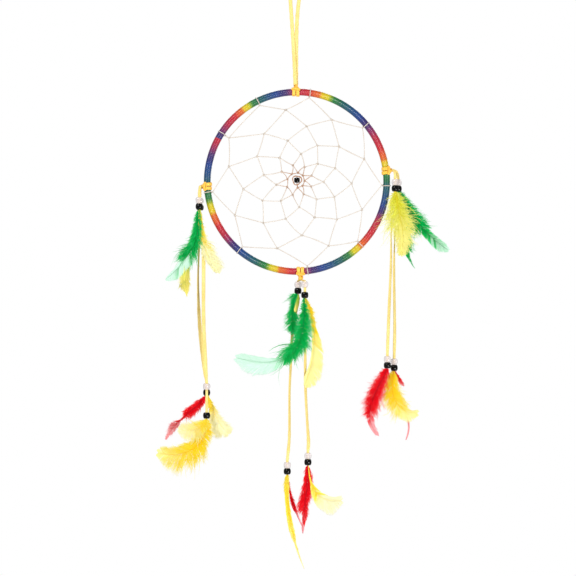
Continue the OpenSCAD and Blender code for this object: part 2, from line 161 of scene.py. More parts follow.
class Graph:
    """The nodes of one shader tree."""

    def __init__(self, tree: bpy.types.NodeTree) -> None:
        """Keeps the tree that the nodes go in."""
        self.tree = tree

    def node(self, kind: str, settings: dict | None = None, sockets: dict | None = None) -> Made:
        """Adds one node.

        Args:
            kind: the node's type.
            settings: its settings, set first; "stops" are a colour ramp's places and colours.
            sockets: its inputs' values or wires, by name or number.

        Returns:
            The node, whose outputs are read by name.
        """
        made = self.tree.nodes.new(kind)
        for name, value in (settings or {}).items():
            if name == "stops":
                self._stops(made.color_ramp, value)
            else:
                setattr(made, name, value)
        for name, value in (sockets or {}).items():
            self.feed(made.inputs[name], value)
        return Made(self, made)

    @staticmethod
    def _stops(ramp: bpy.types.ColorRamp, stops: list) -> None:
        """Sets a ramp's stops, each a place and a colour."""
        while len(ramp.elements) > 1:
            ramp.elements.remove(ramp.elements[-1])
        ramp.elements[0].position = stops[0][0]
        ramp.elements[0].color = stops[0][1]
        for place, colour in stops[1:]:
            ramp.elements.new(place).color = colour

    def feed(self, socket: bpy.types.NodeSocket, value: object) -> None:
        """Links a wire to a socket, or sets its value."""
        if isinstance(value, Wire):
            self.tree.links.new(value.socket, socket)
        else:
            socket.default_value = value

    def value(self, name: str) -> Wire:
        """A value that the mesh carries at its points, by name."""
        return self.node("ShaderNodeAttribute", {"attribute_name": name})["Fac"]

    def place(self) -> Wire:
        """The point's place on the piece, in metres."""
        return self.node("ShaderNodeTexCoord")["Object"]

    def noise(self, scale: float, detail: float = 3.0, where: Wire | None = None) -> Wire:
        """Soft noise from 0 to 1.

        Args:
            scale: how many features there are to a metre.
            detail: how many finer layers it has.
            where: the place it is read at, or None for the point's place.

        Returns:
            The noise.
        """
        at = where or self.place()
        made = self.node("ShaderNodeTexNoise", {}, {"Vector": at, "Scale": scale, "Detail": detail})
        return made[0]

    def ramp(self, share: Wire, low: float, high: float) -> Wire:
        """0 below low, 1 above high, and smooth in between."""
        return self.node(
            "ShaderNodeMapRange",
            {"interpolation_type": "SMOOTHSTEP"},
            {"Value": share, "From Min": low, "From Max": high},
        )["Result"]

    def blend(self, share: object, first: object, second: object) -> Wire:
        """Mixes two colours.

        Args:
            share: how much of the second, from 0 to 1.
            first: a colour or a wire.
            second: a colour or a wire.

        Returns:
            The mixed colour.
        """
        made = self.node("ShaderNodeMix", {"data_type": "RGBA"}, {0: share, 6: first, 7: second})
        return made[2]

    def bump(self, height: Wire, depth: float, strength: float = 1.0) -> Wire:
        """A bumped normal.

        Args:
            height: the height, from 0 to 1.
            depth: how tall a height of 1 is, in metres.
            strength: how much of it is felt.

        Returns:
            The normal.
        """
        sockets = {"Height": height, "Distance": depth, "Strength": strength}
        return self.node("ShaderNodeBump", {}, sockets)["Normal"]


class Surface(Graph):
    """The nodes of one material, with its Principled shader."""

    def __init__(self, name: str) -> None:
        """Starts a material of that name."""
        self.material = bpy.data.materials.new(name)
        self.material.use_nodes = True
        super().__init__(self.material.node_tree)
        self.shader = self.tree.nodes["Principled BSDF"]

    def finish(self, **sockets: object) -> bpy.types.Material:
        """Feeds the shader's sockets, with _ for a space in their names, and gives the material."""
        for name, value in sockets.items():
            self.feed(self.shader.inputs[name.replace("_", " ")], value)
        return self.material


# ---------------------------------------------------------------- finishes


@dataclass(frozen=True)
class Finish:
    """What every finish has: a name, and the record's slot that it stands for."""

    name: str
    slot: str

    def material(self) -> bpy.types.Material:
        """This finish's material, made once."""
        return bpy.data.materials.get(self.name) or self._make(Surface(self.name))

    def _make(self, graph: Surface) -> bpy.types.Material:
        """Makes the material in a new graph."""
        raise NotImplementedError


@dataclass(frozen=True)
class SuedeLace(Finish):
    """Flat faux-suede lace: napped, matt, a little uneven in its dye."""

    light: Colour
    dark: Colour
    nap_scale: float = 2600.0

    def _make(self, graph: Surface) -> bpy.types.Material:
        """Dye clouds, a fine nap and darker edges from the mesh's own values."""
        clouds = graph.noise(110, 4)
        nap = graph.noise(self.nap_scale, 2)
        shade = graph.ramp(nap * 0.7 + clouds * 0.3, 0.3, 0.7)
        colour = graph.blend(shade, linear(self.light), linear(self.dark))
        edge = graph.value("edge")
        colour = graph.blend(edge * 0.45, colour, linear(self.dark))
        return graph.finish(
            Base_Color=colour,
            Roughness=0.74 + nap * 0.2,
            Normal=graph.bump(nap, 0.00009, 0.7),
            Specular_IOR_Level=0.3,
        )


@dataclass(frozen=True)
class DyedYarn(Finish):
    """Space-dyed rayon yarn: a repeating rainbow along its length, with a silky shine."""

    stops: tuple[tuple[float, Colour], ...]

    def _make(self, graph: Surface) -> bpy.types.Material:
        """The dye follows the yarn's own length; fine filaments run along it, and painted shade darkens the
        seams between its turns.
        """
        streaks = graph.noise(5200, 2)
        dye = graph.value("dye") + (graph.noise(420, 2) - 0.5) * 0.012
        wrapped = graph.node("ShaderNodeMath", {"operation": "FRACT"}, {0: dye})["Value"]
        ramp = graph.node(
            "ShaderNodeValToRGB",
            {"stops": [(at, linear(colour)) for at, colour in self.stops]},
            {"Fac": wrapped},
        )["Color"]
        # Painted shade: the seams between neighbouring turns are blended towards near-black.
        colour = graph.blend(graph.value("groove") * 0.5, ramp, linear((8, 10, 16)))
        return graph.finish(
            Base_Color=colour,
            Roughness=0.22 + streaks * 0.14,
            Normal=graph.bump(streaks, 0.00002, 0.3),
            Specular_IOR_Level=0.8,
        )


@dataclass(frozen=True)
class WaxedThread(Finish):
    """Thin waxed thread, handled browner towards the middle of the web."""

    outer: Colour = (222, 212, 200)
    inner: Colour = (178, 116, 66)

    def _make(self, graph: Surface) -> bpy.types.Material:
        """Pale thread with a twist, browner where the mesh says so."""
        fibres = graph.noise(3200, 3)
        base = graph.blend(graph.value("handled"), linear(self.outer), linear(self.inner))
        colour = graph.blend(fibres * 0.4, base, linear((150, 130, 108)))
        return graph.finish(
            Base_Color=colour,
            Roughness=0.5 + fibres * 0.2,
            Normal=graph.bump(fibres, 0.00005, 0.6),
        )


@dataclass(frozen=True)
class MouldedPlastic(Finish):
    """Glossy moulded plastic with faint flow marks."""

    colour: Colour
    low_roughness: float = 0.07

    def _make(self, graph: Surface) -> bpy.types.Material:
        """A little unevenness in gloss and surface."""
        flow = graph.noise(500, 3)
        colour = graph.blend(flow * 0.4, linear(self.colour), linear((14, 13, 14)))
        return graph.finish(
            Base_Color=colour,
            Roughness=self.low_roughness + flow * 0.06,
            Normal=graph.bump(flow, 0.00003, 0.2),
            Specular_IOR_Level=0.22,
        )


@dataclass(frozen=True)
class ClearPlastic(Finish):
    """Clear moulded plastic, faintly rosy, with a cloudy skin."""

    tint: Colour = (246, 240, 240)

    def _make(self, graph: Surface) -> bpy.types.Material:
        """Mostly see-through, with faint flow marks."""
        flow = graph.noise(420, 3)
        colour = graph.blend(flow, linear(self.tint), linear((226, 212, 214)))
        return graph.finish(
            Base_Color=colour,
            Roughness=0.06 + flow * 0.1,
            Normal=graph.bump(flow, 0.00008, 0.4),
            Alpha=0.34 + flow * 0.24,
            IOR=1.49,
            Specular_IOR_Level=0.7,
        )


@dataclass(frozen=True)
class BareWire(Finish):
    """Drawn steel wire, under the winding."""

    def _make(self, graph: Surface) -> bpy.types.Material:
        """Grey steel with drawing marks."""
        marks = graph.noise(900, 3)
        colour = graph.blend(marks, linear((150, 152, 155)), linear((112, 112, 114)))
        return graph.finish(
            Base_Color=colour, Roughness=0.32 + marks * 0.2, Metallic=1.0,
            Normal=graph.bump(marks, 0.00003, 0.4),
        )


@dataclass(frozen=True)
class DyedFeather(Finish):
    """A dyed feather: deep by the rachis, lighter at its fringes, pale where its vane thins, and given a
    faint painted glow in its own colour.
    """

    deep: Colour
    mid: Colour
    fringe: Colour
    tip: Colour
    rachis: Colour

    def _make(self, graph: Surface) -> bpy.types.Material:
        """Reads how far along its barb a point is, and how far the feather has faded there."""
        reach = graph.value("reach")
        hair = graph.value("hair")
        fade = graph.value("fade")
        patch = graph.noise(190, 3)
        share = graph.ramp(reach * 0.7 + hair * 0.35 + patch * 0.4, 0.3, 0.95)
        body = graph.blend(share, linear(self.deep), linear(self.mid))
        body = graph.blend(graph.ramp(reach + hair * 0.25, 0.75, 1.25), body, linear(self.fringe))
        thin = graph.ramp(fade + reach * 0.2 * fade, 0.05, 0.95)
        colour = graph.blend(thin, body, linear(self.tip))
        colour = graph.blend(graph.value("quill") * (1.0 - fade * 0.35), colour, linear(self.rachis))
        barbules = graph.noise(2400, 2)
        return graph.finish(
            Base_Color=colour,
            Roughness=0.55 + barbules * 0.25,
            Normal=graph.bump(barbules, 0.00004, 0.3),
            Specular_IOR_Level=0.1,
            # Painted glow: the feather gives off a little light in its own colour, standing in for light that
            # thin barbs let through.
            Emission_Color=colour,
            Emission_Strength=0.13,
        )


RAINBOW = (
    (0.0, (214, 30, 44)), (0.03, (224, 62, 34)), (0.06, (232, 92, 30)), (0.11, (236, 112, 24)),
    (0.14, (240, 206, 8)), (0.2, (226, 210, 12)), (0.225, (140, 176, 30)), (0.255, (30, 132, 60)),
    (0.31, (18, 112, 66)), (0.345, (0, 98, 96)), (0.41, (0, 88, 112)), (0.45, (0, 76, 128)),
    (0.56, (6, 62, 146)), (0.62, (40, 42, 120)), (0.7, (72, 34, 110)), (0.74, (124, 34, 104)),
    (0.8, (166, 28, 86)), (0.86, (192, 22, 62)), (1.0, (214, 30, 44)),
)

LACE = SuedeLace("golden_suede_lace", "lace", (242, 224, 148), (224, 194, 104))
# The knots are the same lace as the strands; this copy is painted deeper and more orange, standing in for the
# shade and warm reflected light inside the tied bands.
KNOT_LACE = SuedeLace("tied_suede_lace", "knot_lace", (255, 216, 104), (242, 172, 48))
YARN = DyedYarn("space_dyed_yarn", "dyed_yarn", RAINBOW)
THREAD = WaxedThread("beige_waxed_thread", "waxed_thread")
STEEL = BareWire("drawn_steel", "ring_steel")
BLACK = MouldedPlastic("black_plastic", "black_bead", (2, 2, 2))
CLEAR = ClearPlastic("clear_plastic", "clear_bead")
GREEN = DyedFeather(
    "dyed_green_feather", "green_feather", (0, 146, 56), (0, 190, 84), (70, 224, 140), (210, 246, 224),
    (10, 130, 66),
)
YELLOW = DyedFeather(
    "dyed_yellow_feather", "yellow_feather", (242, 208, 16), (255, 236, 84), (255, 246, 150),
    (255, 250, 200), (236, 202, 70),
)
GOLDEN = DyedFeather(
    "dyed_golden_feather", "yellow_feather", (248, 208, 14), (254, 228, 54), (255, 240, 110),
    (255, 246, 160), (230, 176, 30),
)
LIME = DyedFeather(
    "dyed_lime_feather", "yellow_feather", (218, 212, 20), (234, 236, 84), (250, 246, 156),
    (252, 244, 146), (208, 190, 50),
)
RED = DyedFeather(
    "dyed_red_feather", "red_feather", (212, 0, 14), (246, 8, 30), (252, 80, 80), (250, 168, 172),
    (160, 20, 34),
)
TWO_COLOUR = DyedFeather(
    "dyed_two_colour_feather", "two_colour_feather", (70, 176, 46), (132, 206, 62), (186, 226, 96),
    (255, 244, 128), (206, 186, 60),
)


# ---------------------------------------------------------------- mesh making


class Section(Enum):
    """The outline that a run is swept with, as corners on a unit circle or round a unit bar."""

    BLADE = 3
    YARN = 6
    ROUND = 8
    BAND = 12

    def corners(self) -> np.ndarray:
        """The outline's corners, anticlockwise about the run, each across and deep from -1 to 1."""
        first = 0.25 if self is Section.BLADE else 0.5
        angles = (np.arange(self.value) + first) * TAU / self.value
        circle = np.stack([np.cos(angles), np.sin(angles)], axis=1)
        if self is Section.BAND:
            squared = np.sign(circle) * np.abs(circle) ** np.array([0.45, 0.6])
            return squared / np.abs(squared).max(axis=0)
        return circle


def add_object(name: str, data: bpy.types.ID) -> bpy.types.Object:
    """Puts a new object in the scene, of that name and with that data."""
    made = bpy.data.objects.new(name, data)
    bpy.context.scene.collection.objects.link(made)
    return made


def unit(rows: np.ndarray) -> np.ndarray:
    """Each row at length 1."""
    return rows / np.maximum(np.linalg.norm(rows, axis=-1, keepdims=True), 1e-12)


def smooth(stops: np.ndarray, per_span: int) -> np.ndarray:
    """A smooth line through every stop.

    Args:
        stops: the stops, one row each, of any width.
        per_span: how many steps each span between two stops is drawn in.

    Returns:
        The line's points, the stops among them.
    """
    padded = np.vstack([2 * stops[0] - stops[1], stops, 2 * stops[-1] - stops[-2]])
    a, b, c, d = padded[:-3], padded[1:-2], padded[2:-1], padded[3:]
    gaps = [np.linalg.norm(q[:, :3] - p[:, :3], axis=1) ** 0.5 + 1e-9 for p, q in ((a, b), (b, c), (c, d))]
    rows = []
    for i in range(len(stops) - 1):
        g0, g1, g2 = (g[i] for g in gaps)
        out = (b[i] - a[i]) / g0 - (c[i] - a[i]) / (g0 + g1) + (c[i] - b[i]) / g1
        into = (c[i] - b[i]) / g1 - (d[i] - b[i]) / (g1 + g2) + (d[i] - c[i]) / g2
        t = np.arange(per_span)[:, None] / per_span
        rows.append(
            (2 * t**3 - 3 * t**2 + 1) * b[i] + (t**3 - 2 * t**2 + t) * out * g1
            + (3 * t**2 - 2 * t**3) * c[i] + (t**3 - t**2) * into * g1
        )
    rows.append(stops[-1:])
    return np.vstack(rows)


class Solids:
    """Closed solids in the making, with named values at their points."""

    def __init__(self) -> None:
        """Starts with nothing."""
        self.points: list[np.ndarray] = []
        self.faces: list[tuple[int, ...]] = []
        self.values: dict[str, list[np.ndarray]] = {}
        self.count = 0

    def add(self, points: np.ndarray, faces: list, values: dict[str, np.ndarray]) -> None:
        """Adds points, the faces between them, and the points' values.

        Args:
            points: one row each.
            faces: the points' numbers, counted from this call's first.
            values: one number per point, by name; a name missing here counts as 0.
        """
        for name in set(values) | set(self.values):
            column = self.values.setdefault(name, [np.zeros(self.count)] if self.count else [])
            column.append(np.asarray(values.get(name, np.zeros(len(points))), float))
        self.points.append(points)
        self.faces.extend(tuple(int(i) + self.count for i in face) for face in faces)
        self.count += len(points)

    def sweep(
        self,
        path: np.ndarray,
        wide: np.ndarray,
        half_width: np.ndarray | float,
        half_depth: np.ndarray | float,
        section: Section,
        **values: np.ndarray,
    ) -> None:
        """Sweeps one outline along many runs at once, each closed at both ends.

        Args:
            path: the runs' middles, as runs by stations by 3, or one run's as stations by 3.
            wide: the direction of the width, of a shape that fits the path's.
            half_width: half the width at each station.
            half_depth: half the depth at each station.
            section: the outline.
            values: named numbers at each station.
        """
        path = path if path.ndim == 3 else path[None]
        runs, stations, _ = path.shape
        along = unit(np.gradient(path, axis=1))
        wide = np.broadcast_to(wide, path.shape)
        wide = unit(wide - (wide * along).sum(-1, keepdims=True) * along)
        deep = np.cross(along, wide)
        corners = section.corners()
        sides = len(corners)
        width = np.broadcast_to(half_width, (runs, stations))[..., None, None]
        depth = np.broadcast_to(half_depth, (runs, stations))[..., None, None]
        rings = (
            path[:, :, None]
            + corners[None, None, :, :1] * width * wide[:, :, None]
            + corners[None, None, :, 1:] * depth * deep[:, :, None]
        )
        k = np.arange(sides)
        ring = np.stack([k, (k + 1) % sides, (k + 1) % sides + sides, k + sides], axis=1)
        steps = (np.arange(stations - 1) * sides)[:, None, None]
        block = (ring[None] + steps).reshape(-1, 4)
        starts = (np.arange(runs) * stations * sides)[:, None, None]
        quads = (block[None] + starts).reshape(-1, 4).tolist()
        caps = []
        for run in range(runs):
            first = run * stations * sides
            last = first + (stations - 1) * sides
            caps.append([first + i for i in reversed(range(sides))])
            caps.append([last + i for i in range(sides)])
        spread = {
            name: np.repeat(np.broadcast_to(value, (runs, stations)).reshape(-1), sides)
            for name, value in values.items()
        }
        if section is Section.BAND:
            rim = np.clip((np.abs(corners[:, 0]) - 0.75) / 0.25, 0, 1)
            spread["edge"] = np.tile(rim, runs * stations)
        self.add(rings.reshape(-1, 3), quads + caps, spread)

    def turn(self, profile: np.ndarray, centre: np.ndarray, axis_up: np.ndarray, sides: int) -> None:
        """Turns a closed profile about an axis.

        Args:
            profile: radius and height of each corner, anticlockwise with the axis on the left.
            centre: the point of the axis at height 0.
            axis_up: the axis, of length 1.
            sides: how many steps there are round it.
        """
        out = unit(np.cross(BACK, axis_up)) if abs(axis_up @ BACK) < 0.9 else ACROSS
        side = np.cross(axis_up, out)
        angles = np.arange(sides) * TAU / sides
        spokes = np.cos(angles)[:, None] * out + np.sin(angles)[:, None] * side
        points = centre + profile[None, :, :1] * spokes[:, None] + profile[None, :, 1:] * axis_up
        n = len(profile)
        faces = [
            (a * n + i, b * n + i, b * n + (i + 1) % n, a * n + (i + 1) % n)
            for a, b in ((s, (s + 1) % sides) for s in range(sides))
            for i in range(n)
        ]
        self.add(points.reshape(-1, 3), faces, {})

    def mesh(self, name: str, material: bpy.types.Material, rounded: bool) -> bpy.types.Mesh:
        """Makes the mesh, with its values, in one material.

        Args:
            name: the mesh's name.
            material: what it is made of.
            rounded: whether it is shaded as a rounded surface.

        Returns:
            The mesh.
        """
        mesh = bpy.data.meshes.new(name)
        mesh.from_pydata(np.vstack(self.points).tolist(), [], self.faces)
        for key, columns in self.values.items():
            layer = mesh.attributes.new(key, "FLOAT", "POINT")
            layer.data.foreach_set("value", np.concatenate(columns).astype(np.float32))
        mesh.polygons.foreach_set("use_smooth", [rounded] * len(mesh.polygons))
        mesh.materials.append(material)
        mesh.update()
        return mesh

    def piece(self, name: str, finish: Finish, body: str, *replaced: str) -> bpy.types.Object:
        """Makes the object, dresses it and hangs it on its body.

        Args:
            name: the object's name.
            finish: its finish.
            body: the frame's body that it moves with.
            replaced: the frame's nodes that it stands for.

        Returns:
            The object.
        """
        made = add_object(name, self.mesh(name, finish.material(), rounded=True))
        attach(made, body)
        if replaced:
            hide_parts(*replaced)
        LOG.info("%s: %d faces, on %s", name, len(self.faces), body)
        return made


# ---------------------------------------------------------------- the frame


@dataclass
class Frame:
    """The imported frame: where its joints and its nodes are."""

    loaded: dict

    def joint(self, name: str) -> np.ndarray:
        """Where a joint is."""
        found = next(j for j in self.loaded["joints"] if j["name"] == name)
        return np.array(found["pos_m"], float)

    def middle(self, node: str) -> np.ndarray:
        """The middle of a node's box."""
        low, high = (np.array(corner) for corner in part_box(node))
        return (low + high) / 2


@dataclass
class Camera:
    """The camera, level and square to the hoop, from far enough to look nearly flat."""

    seen_width: float = 0.4942
    aim_x: float = -0.0077
    aim_z: float = -0.2732
    distance: float = 2.0
    sensor: float = 36.0

    def build(self) -> None:
        """Makes the camera the scene's own."""
        data = bpy.data.cameras.new("camera")
        data.sensor_width = self.sensor
        data.lens = self.sensor * self.distance / self.seen_width
        made = add_object("camera", data)
        made.location = (self.aim_x, -self.distance, self.aim_z)
        made.rotation_euler = (math.pi / 2, 0, 0)
        bpy.context.scene.camera = made


@dataclass
class Studio:
    """A pale floor far below, a white surround and three soft lights."""

    floor_z: float = -1.0
    floor_radius: float = 1.5
    floor_thickness: float = 0.01
    floor_hole: float = 0.001
    surround: float = 0.4
    middle: tuple[float, float, float] = (0.0, 0.0, -0.25)

    def build(self) -> None:
        """Makes the floor, the surround and the lights."""
        self._floor()
        self._surround()
        self._light("key", (-1.0, -1.5, 0.75), 0.36, 26.0)
        self._light("fill", (1.0, -1.5, -0.7), 0.34, 20.0)
        self._light("rim", (0.3, 1.4, 0.5), 1.0, 10.0)

    def _floor(self) -> None:
        """A thin pale disc."""
        solids = Solids()
        inner, outer, under = self.floor_hole, self.floor_radius, -self.floor_thickness
        profile = np.array([[inner, under], [outer, under], [outer, 0], [inner, 0]])
        solids.turn(profile, self.floor_z * UP, UP, 96)
        graph = Surface("pale_floor")
        grain = graph.noise(30, 4)
        tone = graph.blend(grain, linear((246, 246, 246)), linear((240, 240, 240)))
        material = graph.finish(Base_Color=tone, Roughness=0.8)
        add_object("floor", solids.mesh("floor", material, rounded=False))

    def _surround(self) -> None:
        """White where it is seen, and softer where it lights the object."""
        world = bpy.data.worlds.new("surround")
        bpy.context.scene.world = world
        world.use_nodes = True
        world.node_tree.nodes.clear()
        graph = Graph(world.node_tree)
        white = (1, 1, 1, 1)
        seen_by_camera = graph.node("ShaderNodeLightPath")["Is Camera Ray"]
        lit, seen = (
            graph.node("ShaderNodeBackground", {}, {"Color": white, "Strength": strength})[0]
            for strength in (self.surround, 1.0)
        )
        mixed = graph.node("ShaderNodeMixShader", {}, {0: seen_by_camera, 1: lit, 2: seen})[0]
        graph.node("ShaderNodeOutputWorld", {}, {"Surface": mixed})
        bpy.context.scene.view_settings.view_transform = "Standard"

    def _light(self, name: str, place: tuple, size: float, power: float) -> None:
        """A soft square light that looks at the middle.

        Args:
            name: its name.
            place: where it is.
            size: its side.
            power: its power in watts.
        """
        data = bpy.data.lights.new(name, "AREA")
        data.size = size
        data.energy = power
        made = add_object(name, data)
        made.location = place
        aim = Vector(self.middle) - Vector(place)
        made.rotation_euler = aim.to_track_quat("-Z", "Y").to_euler()


# ---------------------------------------------------------------- the hoop and its web


@dataclass
class Hoop:
    """The steel ring and the dyed yarn wound over it, turn beside turn."""

    frame: Frame
    tube_r: float = 0.003
    core_r: float = 0.0017
    pitch: float = 0.0008
    yarn_deep: float = 0.0004
    first_clock: float = 299.0
    stations: int = 14
    dye_clocks: tuple = (
        299, 318, 345, 369, 402, 430, 464, 477, 490, 522, 546, 578, 602, 639, 659,
    )
    dye_repeats: tuple = (
        0.62, 1.03, 1.52, 2.03, 2.52, 3.03, 3.52, 3.88, 4.03, 4.52, 5.03, 5.52, 6.03, 6.52, 6.93,
    )

    def __post_init__(self) -> None:
        """Finds the ring's middle and the circle that its tube follows."""
        self.centre = self.frame.middle("ring_wrapping")
        low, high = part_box("ring_wrapping")
        self.mid_r = (high[0] - low[0]) / 2 - self.tube_r

    def out(self, clock: float | np.ndarray) -> np.ndarray:
        """The direction away from the ring's middle, at a clockwise angle from the top."""
        angle = np.radians(np.asarray(clock, float))
        return np.stack([np.sin(angle), np.zeros_like(angle), np.cos(angle)], axis=-1)

    def along(self, clock: float | np.ndarray) -> np.ndarray:
        """The clockwise direction along the tube, at a clockwise angle from the top."""
        return self.out(np.asarray(clock, float) + 90)

    def round_tube(self, clock: np.ndarray, turned: np.ndarray, radius: float) -> np.ndarray:
        """Points round the tube.

        Args:
            clock: where on the ring, clockwise from the top, in degrees.
            turned: how far round the tube from its outer side, over the front, in radians.
            radius: how far from the tube's middle.

        Returns:
            One point for each pair of angles.
        """
        out = self.out(clock)
        spoke = np.cos(turned)[..., None] * out - np.sin(turned)[..., None] * BACK
        return self.centre + self.mid_r * out + radius * spoke

    def build(self) -> None:
        """Makes the steel ring and the winding."""
        core = Solids()
        angles = np.arange(16) * TAU / 16
        profile = np.stack([self.mid_r + self.core_r * np.cos(angles), self.core_r * np.sin(angles)], 1)
        core.turn(profile, self.centre, -BACK, 180)
        core.piece("steel_ring", STEEL, "hoop", "ring_core")
        self._winding().piece("dyed_yarn_winding", YARN, "hoop", "ring_wrapping")

    def _winding(self) -> Solids:
        """The yarn as one helix round the tube."""
        turns = round(TAU * self.mid_r / self.pitch)
        share = np.linspace(0, 1, turns * self.stations + 1)
        clock = self.first_clock + 360 * share
        path = self.round_tube(clock, TAU * turns * share, self.tube_r - self.yarn_deep / 2)
        dye = np.interp(clock, self.dye_clocks, self.dye_repeats)
        solids = Solids()
        solids.sweep(
            path, self.along(clock), self.pitch * 0.56, self.yarn_deep / 2, Section.YARN, dye=dye
        )
        # The outline's outer corners, at the seams between turns, carry the painted seam shade.
        rim = np.abs(Section.YARN.corners()[:, 0]) > 0.8
        solids.values["groove"] = [np.tile(rim.astype(float), len(share))]
        return solids


@dataclass
class Web:
    """The thread, hitched round the hoop and then into its own last round, and its bead."""

    hoop: Hoop
    thread_r: float = 0.00038
    clocks: tuple = (302.7, 333.9, 368.2, 410.5, 452.4, 494.4, 533, 579.9, 623)
    pulls: tuple = (0.895, 0.825, 0.79, 0.71, 0.61, 0.53)
    hitches: int = 8
    hitch_in: float = 0.0012
    start_in: float = 0.0045
    rise: float = 0.0013
    eye_r: float = 0.0038
    eye_turns: float = 2.15

    def __post_init__(self) -> None:
        """Works out where every hitch is."""
        count = len(self.clocks)
        self.middle = self.hoop.centre + self.rise * UP
        inner = self.hoop.mid_r - self.hoop.tube_r
        self.knots = []
        for i in range(count + 1):
            inset = self.hitch_in if i % count else self.start_in
            self.knots.append(self.hoop.centre + (inner - inset) * self.hoop.out(self.clocks[i % count]))
        for pull in self.pulls:
            for _ in range(self.hitches):
                n = len(self.knots)
                caught = (self.knots[n - count] + self.knots[n - count + 1]) / 2
                self.knots.append(self.middle + pull * (caught - self.middle))

    def build(self) -> None:
        """Makes the thread and the bead."""
        solids = Solids()
        self._runs(solids)
        self._hitches(solids)
        self._anchors(solids)
        self._eye(solids)
        solids.piece("web_thread_run", THREAD, "hoop", "web_thread")
        Bead(diameter=0.005, height=0.0044, bore=0.0016, finish=BLACK, rim=0.93).build(
            "web_bead_barrel", self.hoop.frame.middle("web_bead"), "hoop", "web_bead"
        )

    def _handled(self, points: np.ndarray) -> np.ndarray:
        """How brown the thread is at each point: 1 at the middle of the web, 0 far out."""
        away = np.linalg.norm(points - self.middle, axis=-1)
        return np.clip(1.1 - away / 0.018, 0, 1)

    def _runs(self, solids: Solids) -> None:
        """The thread between its hitches, which it leaves a little slack."""
        count, last = len(self.clocks), len(self.knots) - 1
        pairs = [(0, 1)]
        for n in range(count + 1, last + 1):
            pairs += [(n, n - count), (n, n - count + 1)]
        pairs += [(n, n + 1) for n in range(last - self.hitches, last)]
        starts = np.array([self.knots[a] for a, _ in pairs])
        ends = np.array([self.knots[b] for _, b in pairs])
        rng = np.random.default_rng(4)
        t = np.linspace(0, 1, 9)[None, :, None]
        slack = rng.normal(0, 0.0003, (len(pairs), 1, 3)) * np.array([1, 0.6, 1])
        path = starts[:, None] + t * (ends - starts)[:, None] + 4 * t * (1 - t) * slack
        radius = self.thread_r * (1 + 0.12 * rng.normal(size=path.shape[:2]))
        solids.sweep(path, BACK, radius, radius, Section.ROUND, handled=self._handled(path))

    def _hitches(self, solids: Solids) -> None:
        """A little coil of thread at each place where the thread catches its last round."""
        rng = np.random.default_rng(9)
        knots = np.array(self.knots[len(self.clocks) + 1:])
        away = unit(knots - self.middle)
        side = np.cross(away, BACK)
        turned = np.linspace(0, 2.2 * TAU, 26)[None, :, None] + rng.uniform(0, TAU, (len(knots), 1, 1))
        step = np.linspace(-0.5, 0.5, 26)[None, :, None] * 2.4 * self.thread_r * 2
        ring = np.cos(turned) * BACK + np.sin(turned) * away[:, None]
        path = knots[:, None] + 1.7 * self.thread_r * ring + step * side[:, None]
        thin = self.thread_r * 0.9
        solids.sweep(path, side[:, None], thin, thin, Section.YARN, handled=self._handled(path))

    def _anchors(self, solids: Solids) -> None:
        """The thread's own loops round the tube, and its run to the first hitches."""
        radius = self.hoop.tube_r + self.thread_r
        turned = np.linspace(-0.3, TAU + 0.6, 44)
        clocks = np.array(self.clocks)[:, None] + np.linspace(-0.45, 0.55, 44)[None, :]
        path = self.hoop.round_tube(clocks, np.broadcast_to(turned, clocks.shape) + math.pi, radius)
        solids.sweep(path, self.hoop.along(clocks), self.thread_r, self.thread_r, Section.YARN)
        doubled = self.thread_r * 1.5
        for knot, clock in zip(self.knots, self.clocks):
            foot = self.hoop.centre + (self.hoop.mid_r - radius) * self.hoop.out(clock)
            solids.sweep(np.stack([knot, foot]), BACK, doubled, doubled, Section.ROUND)

    def _eye(self, solids: Solids) -> None:
        """The last round, about the bead, and the thread that the bead is on."""
        turned = np.linspace(0, self.eye_turns * TAU, 90)[:, None]
        radius = self.eye_r + 0.0004 * np.sin(turned * 3.1)
        eye = self.middle + radius * (np.cos(turned) * ACROSS + np.sin(turned) * UP)
        eye = eye + BACK * 0.0005 * np.sin(turned / self.eye_turns)
        reach = np.linspace(-self.eye_r, self.eye_r, 7)[:, None]
        through_bead = self.hoop.frame.middle("web_bead") + UP * reach
        last = self.knots[-1]
        to_eye = np.stack([last, self.middle + self.eye_r * unit(last - self.middle)])
        for path in (eye, through_bead, to_eye):
            solids.sweep(
                path, BACK, self.thread_r, self.thread_r, Section.ROUND, handled=np.ones(len(path))
            )


# ---------------------------------------------------------------- beads


@dataclass
class Bead:
    """A moulded barrel bead with soft rims and a straight bore."""

    diameter: float = 0.0062
    height: float = 0.0052
    bore: float = 0.0033
    finish: Finish = BLACK
    rim: float = 0.8
    sides: int = 40

    def profile(self) -> np.ndarray:
        """The wall's section: up the barrel's bulge, over its rim and down the bore."""
        half, full, bore = self.height / 2, self.diameter / 2, self.bore / 2
        wall = full * self.rim - bore
        soft = wall * 0.3
        up = np.linspace(-1, 1, 11)
        bulge = full - (1 - self.rim) * full * np.abs(up) ** 2.4
        outer = np.stack([bulge, up * (half - soft)], axis=1)
        turned = np.linspace(0, math.pi, 7)[1:-1]
        rim = np.stack(
            [bore + wall / 2 + np.cos(turned) * wall / 2, half - soft + np.sin(turned) * soft], axis=1
        )
        inner = np.array([[bore, half - soft], [bore, -half + soft]])
        return np.vstack([outer, rim, inner, rim[::-1] * [1, -1]])

    def build(self, name: str, middle: np.ndarray, body: str, *replaced: str) -> bpy.types.Object:
        """Makes one bead upright at a place.

        Args:
            name: the object's name.
            middle: the bead's middle.
            body: the frame's body that it moves with.
            replaced: the frame's nodes that it stands for.

        Returns:
            The bead.
        """
        solids = Solids()
        self.add(solids, middle)
        return solids.piece(name, self.finish, body, *replaced)

    def add(self, solids: Solids, middle: np.ndarray) -> None:
        """Adds one upright bead to some solids."""
        solids.turn(self.profile(), np.asarray(middle), UP, self.sides)


# ---------------------------------------------------------------- laces and knots


